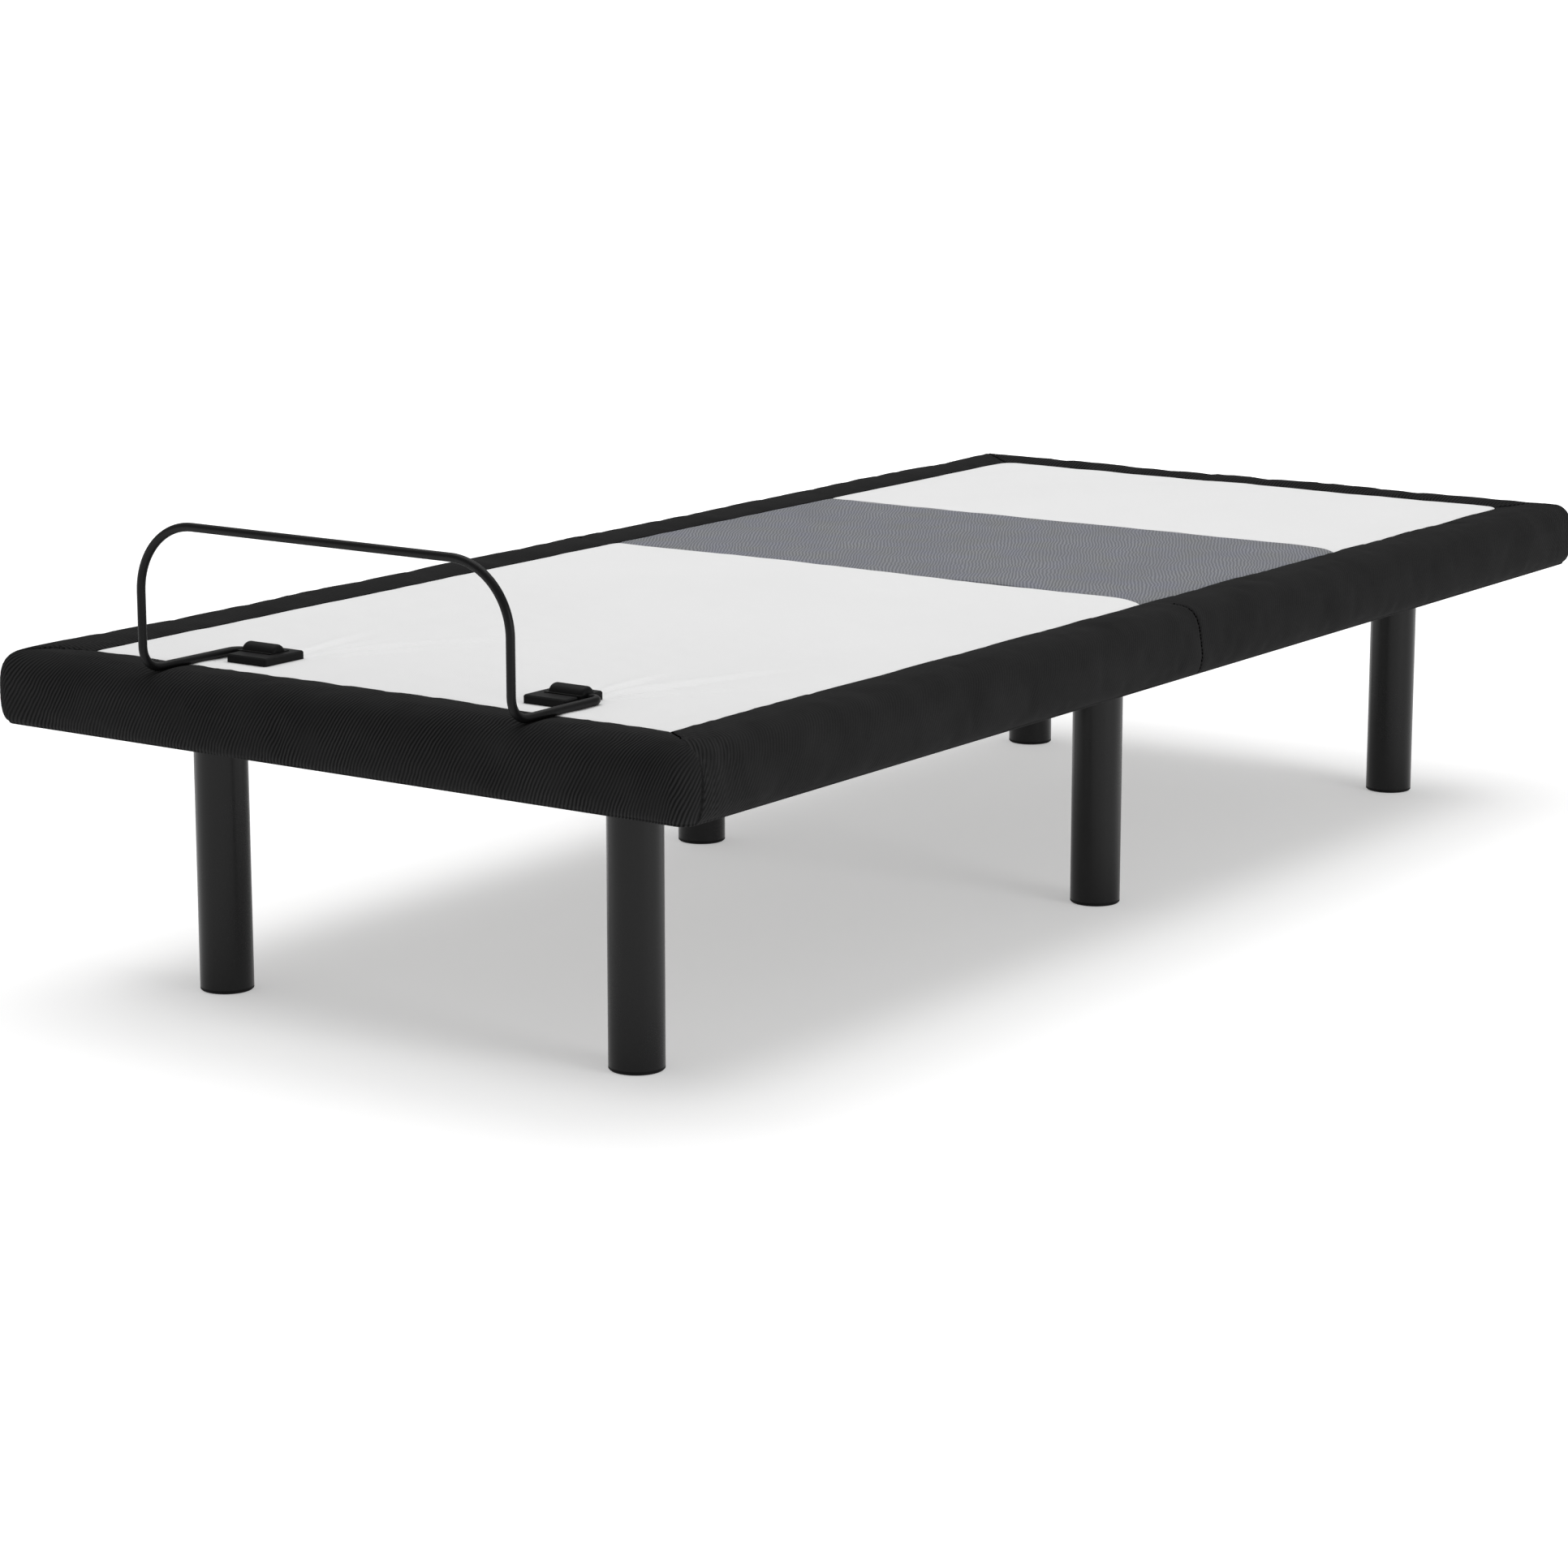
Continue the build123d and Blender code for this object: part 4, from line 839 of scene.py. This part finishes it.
# a material and the nodes that wear it
CAD_LOOKS = [
    (PLYWOOD, ["seat_board", "back_board", "thigh_board", "calf_board"]),
    (BLACK_PAINT, [
        "leg_risers", "leg_plates", "frame_cross_tubes", "splice_plates", "hinge_brackets", "link_brackets",
        "seat_side_bars", "back_frame_tubes", "back_crank", "thigh_frame_tubes", "leg_crank",
        "calf_frame_tubes", "calf_link_lugs", "support_link", "back_drive_hanger", "leg_drive_hanger"]),
    (ZINC, ["leg_studs", "splice_bolts", "hinge_pins", "knee_hinge_pins", "bracket_screws"]),
    (BRIGHT_STEEL, [
        "back_push_rod", "leg_push_rod", "back_screw", "leg_screw", "back_guide_tube", "leg_guide_tube"]),
    (BLACK_PLASTIC, [
        "leg_glides", "back_drive_housing", "leg_drive_housing", "control_box", "mains_inlet",
        "retainer_bracket_left", "retainer_bracket_right"]),
    (GREY_MOTOR, ["back_motor", "leg_motor"]),
    (RUBBER, ["rest_bumpers"]),
    (BAR_PAINT, ["retainer_bar"]),
]


def dress_node(name, material):
    node = frame["nodes"][name]
    if not node.material_slots:
        node.data.materials.append(material)
    for slot in node.material_slots:
        slot.link = "OBJECT"
        slot.material = material


def dress_cad():
    looks = {name: material for material, names in CAD_LOOKS for name in names}
    for name in frame["nodes"]:
        if name.startswith(("lower_leg", "side_rail")):
            looks[name] = BLACK_PAINT
    for name, material in looks.items():
        dress_node(name, material)


# ---- cloth simulation


def spread(values, places, wanted):
    """Linear interpolation of rows of vectors along their first axis."""
    k = np.clip(np.searchsorted(places, wanted, side="right") - 1, 0, len(places) - 2)
    t = ((wanted - places[k]) / (places[k + 1] - places[k]))[:, None, None]
    return values[k] * (1 - t) + values[k + 1] * t


def puff_border(border):
    """Blows the border's skin up a little, as cloth sewn down at the seam and the hem."""
    line = distances(border.grid, 0)[:, 0]
    picked = [0]
    for i in range(1, len(line)):
        if line[i] - line[picked[-1]] > CLOTH_STEP:
            picked.append(i)
    picked[-1] = len(line) - 1
    rows = list(range(0, SKIN_ROWS - 1, 2)) + [SKIN_ROWS - 1]
    start = border.grid[np.ix_(picked, rows)]
    n, m = start.shape[:2]
    skin = bpy.data.meshes.new("skin")
    faces = [(i * m + j, i * m + j + 1, (i + 1) % n * m + j + 1, (i + 1) % n * m + j)
             for i in range(n) for j in range(m - 1)]
    skin.from_pydata(start.reshape(-1, 3).tolist(), [], faces)
    cloth = bpy.data.objects.new("skin", skin)
    bpy.context.scene.collection.objects.link(cloth)
    pins = cloth.vertex_groups.new(name="sewn")
    pins.add([i * m + j for i in range(n) for j in (0, m - 2, m - 1)], 1.0, "REPLACE")
    settings = cloth.modifiers.new("cloth", "CLOTH").settings
    settings.quality = 5
    settings.mass = 0.25
    settings.tension_stiffness = 12
    settings.compression_stiffness = 12
    settings.shear_stiffness = 6
    settings.bending_stiffness = 0.3
    settings.vertex_group_mass = "sewn"
    settings.shrink_min = -0.005
    settings.use_pressure = True
    settings.uniform_pressure_force = 4
    settings.effector_weights.gravity = 0
    for step in range(1, CLOTH_FRAMES + 1):
        bpy.context.scene.frame_set(step)
    shaped = cloth.evaluated_get(bpy.context.evaluated_depsgraph_get())
    moved = np.empty(n * m * 3)
    shaped.data.vertices.foreach_get("co", moved)
    move = moved.reshape(n, m, 3) - start
    bpy.context.scene.frame_set(1)
    bpy.data.objects.remove(cloth)
    size = np.linalg.norm(move, axis=-1, keepdims=True)
    move *= CLOTH_MOVE / np.maximum(size, CLOTH_MOVE)
    fine = spread(move, line[picked], line)
    known = np.array(rows, dtype=float)
    fine = spread(fine.transpose(1, 0, 2), known, np.arange(SKIN_ROWS)).transpose(1, 0, 2)
    x, y = border.grid[:, :SKIN_ROWS, 0], border.grid[:, :SKIN_ROWS, 1]
    calm = smooth((np.abs(x - SPLIT_X) - 0.004) / 0.03) * smooth((np.abs(x - SKIRT_SEAM_X) - 0.003) / 0.012)
    calm = calm * (1 - bump((np.abs(y) - BAR_HIGH.y) / 0.03) * (x < BAR_ZONE_X))
    border.grid[:, :SKIN_ROWS] += fine * calm[..., None]


# ---- stitching


def thread_piece(name, lines, radius):
    """Threads of the given radius along several lines of points, as one piece."""
    vertices, faces, places = [], [], []
    for line in lines:
        line = np.array(line)
        start = len(vertices)
        for k, point in enumerate(line):
            way = Vector(line[min(k + 1, len(line) - 1)] - line[max(k - 1, 0)]).normalized()
            side = way.orthogonal().normalized()
            up = way.cross(side)
            size = radius * (0.45 if k in (0, len(line) - 1) else 1.0)
            for n in range(6):
                turn = math.pi / 3 * n
                vertices.append(Vector(point) + size * (side * math.cos(turn) + up * math.sin(turn)))
                places.append(k * radius)
        for k in range(len(line) - 1):
            for n in range(6):
                a, b = start + 6 * k + n, start + 6 * k + (n + 1) % 6
                faces.append((a, b, b + 6, a + 6))
        faces.append(tuple(start + n for n in range(5, -1, -1)))
        faces.append(tuple(len(vertices) - 6 + n for n in range(6)))
    piece = new_piece(name, vertices, faces, THREAD)
    set_weave(piece, np.array(places), np.zeros(len(places)))
    return piece


def at_across(border, i, across):
    """A point of the border's skin at station i and a distance from the seam, and its normal."""
    row = np.arange(SKIN_ROWS)
    j = np.interp(across, border.across[i, row], row)
    low = min(int(j), SKIN_ROWS - 2)
    point = border.grid[i, low] * (1 - j + low) + border.grid[i, low + 1] * (j - low)
    return point, border.normal[i, low]


def seam_stitches(border, i):
    """Short threads over the sewn seam of a long side, each one slanting across it."""
    lines = []
    last = border.across[i, SKIN_ROWS - 1] - 0.002
    for k, across in enumerate(np.arange(0.041, last, 0.0045)):
        slant = 0.0016 if k % 2 else -0.0016
        start, normal = at_across(border, i, across)
        stop, _ = at_across(border, i, min(across + 0.0038, last))
        lift = normal * 0.0017
        shift = np.array([slant, 0, 0])
        lines.append([start - shift + lift * 0.3, (start + stop) / 2 + lift, stop + shift + lift * 0.3])
    return lines


def mitre_stitches(border, i):
    """Short threads across a corner's mitre seam, near the panel's corner."""
    lines = []
    for across in np.arange(0.006, 0.062, 0.0052):
        point, normal = at_across(border, i, across)
        below, _ = at_across(border, i, across + 0.002)
        way = np.cross(normal, below - point)
        way = way / max(np.linalg.norm(way), 1e-9)
        lift = normal * 0.0012
        lines.append([point - way * 0.0016, point + lift, point + way * 0.0016 + (below - point) * 0.6])
    return lines


def make_stitching(border, seam_stations):
    border.normal = grid_normals(border.grid)
    side_lines = [line for i in seam_stations for line in seam_stitches(border, i)]
    side = thread_piece("side_seam_thread", side_lines, 0.0011)
    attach(side, "base")
    middles = {s[0]: i for i, s in enumerate(border.stations) if s[1] == "arc" and s[2] == 0.5}
    for name, body, corners in (("foot_mitre_thread", "calf", ("far", "foot")),
                                ("head_mitre_thread", "back", ("near", "head"))):
        lines = [line for corner in corners for line in mitre_stitches(border, middles[corner])]
        piece = thread_piece(name, lines, 0.0008)
        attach(piece, body)


# ---- covers


def make_covers():
    """The sewn cover: four lengths of border and four panels."""
    border = Border()
    dress_border(border)
    puff_border(border)
    index = {}
    for i, (side, kind, _, place) in enumerate(border.stations):
        if kind == "fixed" and side in ("near", "far"):
            for label, x in (("split", SPLIT_X), ("seam", SKIRT_SEAM_X)):
                if abs(place - x) < 1e-6:
                    index[label, side] = i
    lengths = (
        ("border_head", ("seam", "near"), ("seam", "far")),
        ("border_foot", ("split", "far"), ("split", "near")),
        ("border_middle_right", ("split", "near"), ("seam", "near")),
        ("border_middle_left", ("seam", "far"), ("split", "far")),
    )
    head, foot, near, far = (
        border_piece(name, border, index[start], index[stop], BLACK_KNIT) for name, start, stop in lengths)
    flat_line = lambda value: (lambda y: np.full_like(y, value))
    white_foot = panel_piece(
        "white_panel_foot", lambda y: panel_x(y, -1), flat_line(SPLIT_X), WHITE_KNIT, 41, 150)
    white_middle = panel_piece(
        "white_panel_middle", flat_line(SPLIT_X), lambda y: grey_x(y, GREY_FOOT_X), WHITE_KNIT, 41, 40)
    grey = panel_piece(
        "grey_band", lambda y: grey_x(y, GREY_FOOT_X), lambda y: grey_x(y, GREY_HEAD_X), GREY_KNIT, 42, 80)
    white_head = panel_piece(
        "white_panel_head", lambda y: grey_x(y, GREY_HEAD_X), lambda y: panel_x(y, 1), WHITE_KNIT, 43, 70)
    for piece, bend in ((head, "hip"), (grey, "hip"), (near, "thigh"), (far, "thigh"),
                        (white_middle, "thigh"), (foot, "knee"), (white_foot, "knee")):
        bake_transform(piece)
    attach(white_head, "back")
    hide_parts("back_border", "seat_border")
    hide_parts("thigh_border")
    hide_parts("thigh_border")
    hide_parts("calf_border")
    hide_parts("back_foam")
    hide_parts("seat_foam")
    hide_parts("thigh_foam")
    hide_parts("calf_foam")
    make_stitching(border, [index["seam", "near"], index["seam", "far"]])


# ---- studio


FLOOR_PATCH = (0.82, 0.31)  # half sizes of the patch under the bed that is painted darker
FLOOR_PATCH_EDGE = 0.17  # width of that patch's soft edge
FLOOR_PATCH_SHADE = 0.14  # how much less light the floor gives off there
FLOOR_GLOW = (1.6, 5.0, 0.37, 1.1)  # two distances, and how much light it gives off at them
WORLD_LIGHT = 0.40
WORLD_SEEN = 1.05


def make_floor():
    """A pale floor that gives off light of its own. It isn't plain: it gives off less in a patch under the
    bed, which is a painted part of the bed's shadow, and more with distance, so that it fades to white."""
    nodes = Nodes("floor_paint")
    place = object_vector(nodes)
    tone = nodes.noise(3.0, 2.0, place)
    nodes.drive("Base Color", nodes.between(tone, (0.80, 0.80, 0.80), (0.82, 0.82, 0.82)))
    nodes.set(Roughness=0.9, Specular_IOR_Level=0.1, Emission_Color=(1, 1, 1, 1))
    outside = nodes.add("ShaderNodeCombineXYZ")
    for socket, value, half_size in zip(outside.inputs, nodes.split(place), FLOOR_PATCH):
        past = nodes.math("SUBTRACT", nodes.math("ABSOLUTE", value), half_size)
        nodes.link(nodes.math("MAXIMUM", past, 0.0), socket)
    away = nodes.length(outside.outputs[0])
    around = nodes.ramp(away, 0.0, FLOOR_PATCH_EDGE, 0.0, FLOOR_PATCH_SHADE)
    glow = nodes.ramp(nodes.length(place), *FLOOR_GLOW)
    nodes.drive("Emission Strength", nodes.math("ADD", glow, around))
    bpy.ops.mesh.primitive_plane_add(size=80, location=(0, 0, -0.0005))
    floor = bpy.context.object
    floor.name = "floor"
    floor.data.materials.append(nodes.material)


def make_world():
    """White light from all round. The camera sees it brighter than it lights the scene."""
    world = bpy.data.worlds.new("studio")
    world.use_nodes = True
    tree = world.node_tree
    tree.nodes.clear()
    output = tree.nodes.new("ShaderNodeOutputWorld")
    ray = tree.nodes.new("ShaderNodeLightPath")
    mix = tree.nodes.new("ShaderNodeMixShader")
    tree.links.new(ray.outputs["Is Camera Ray"], mix.inputs[0])
    for socket, strength in ((mix.inputs[1], WORLD_LIGHT), (mix.inputs[2], WORLD_SEEN)):
        background = tree.nodes.new("ShaderNodeBackground")
        background.inputs["Color"].default_value = (1, 1, 1, 1)
        background.inputs["Strength"].default_value = strength
        tree.links.new(background.outputs[0], socket)
    tree.links.new(mix.outputs[0], output.inputs["Surface"])
    bpy.context.scene.world = world


def area_light(name, place, target, size, size_y, power):
    data = bpy.data.lights.new(name, "AREA")
    data.shape = "RECTANGLE"
    data.size = size
    data.size_y = size_y
    data.energy = power
    lamp = bpy.data.objects.new(name, data)
    bpy.context.scene.collection.objects.link(lamp)
    lamp.location = place
    lamp.rotation_euler = (Vector(target) - Vector(place)).to_track_quat("-Z", "Y").to_euler()


def make_lights():
    area_light("overhead", (0.5, 0.5, 4.5), (0, 0, 0.3), 5.0, 4.0, 124)
    area_light("side_softbox", (-0.6, -5.5, 1.6), (-0.1, 0, 0.25), 2.4, 2.2, 74)


CAMERA_PLACE = (-4.2791, -2.8756, 1.2178)
CAMERA_TURN = (math.radians(77.971), 0.0, math.radians(-54.990))
CAMERA_LENS = 98.335  # for a sensor of 36 mm


def make_camera():
    """The camera that was fitted to the corners, seams and feet in the photograph."""
    data = bpy.data.cameras.new("camera")
    data.sensor_width = 36.0
    data.lens = CAMERA_LENS
    data.clip_end = 200
    camera = bpy.data.objects.new("camera", data)
    camera.location = CAMERA_PLACE
    camera.rotation_euler = CAMERA_TURN
    bpy.context.scene.collection.objects.link(camera)
    bpy.context.scene.camera = camera


make_covers()
dress_cad()
make_floor()
make_world()
make_lights()
make_camera()
bpy.context.scene.view_settings.view_transform = "Standard"
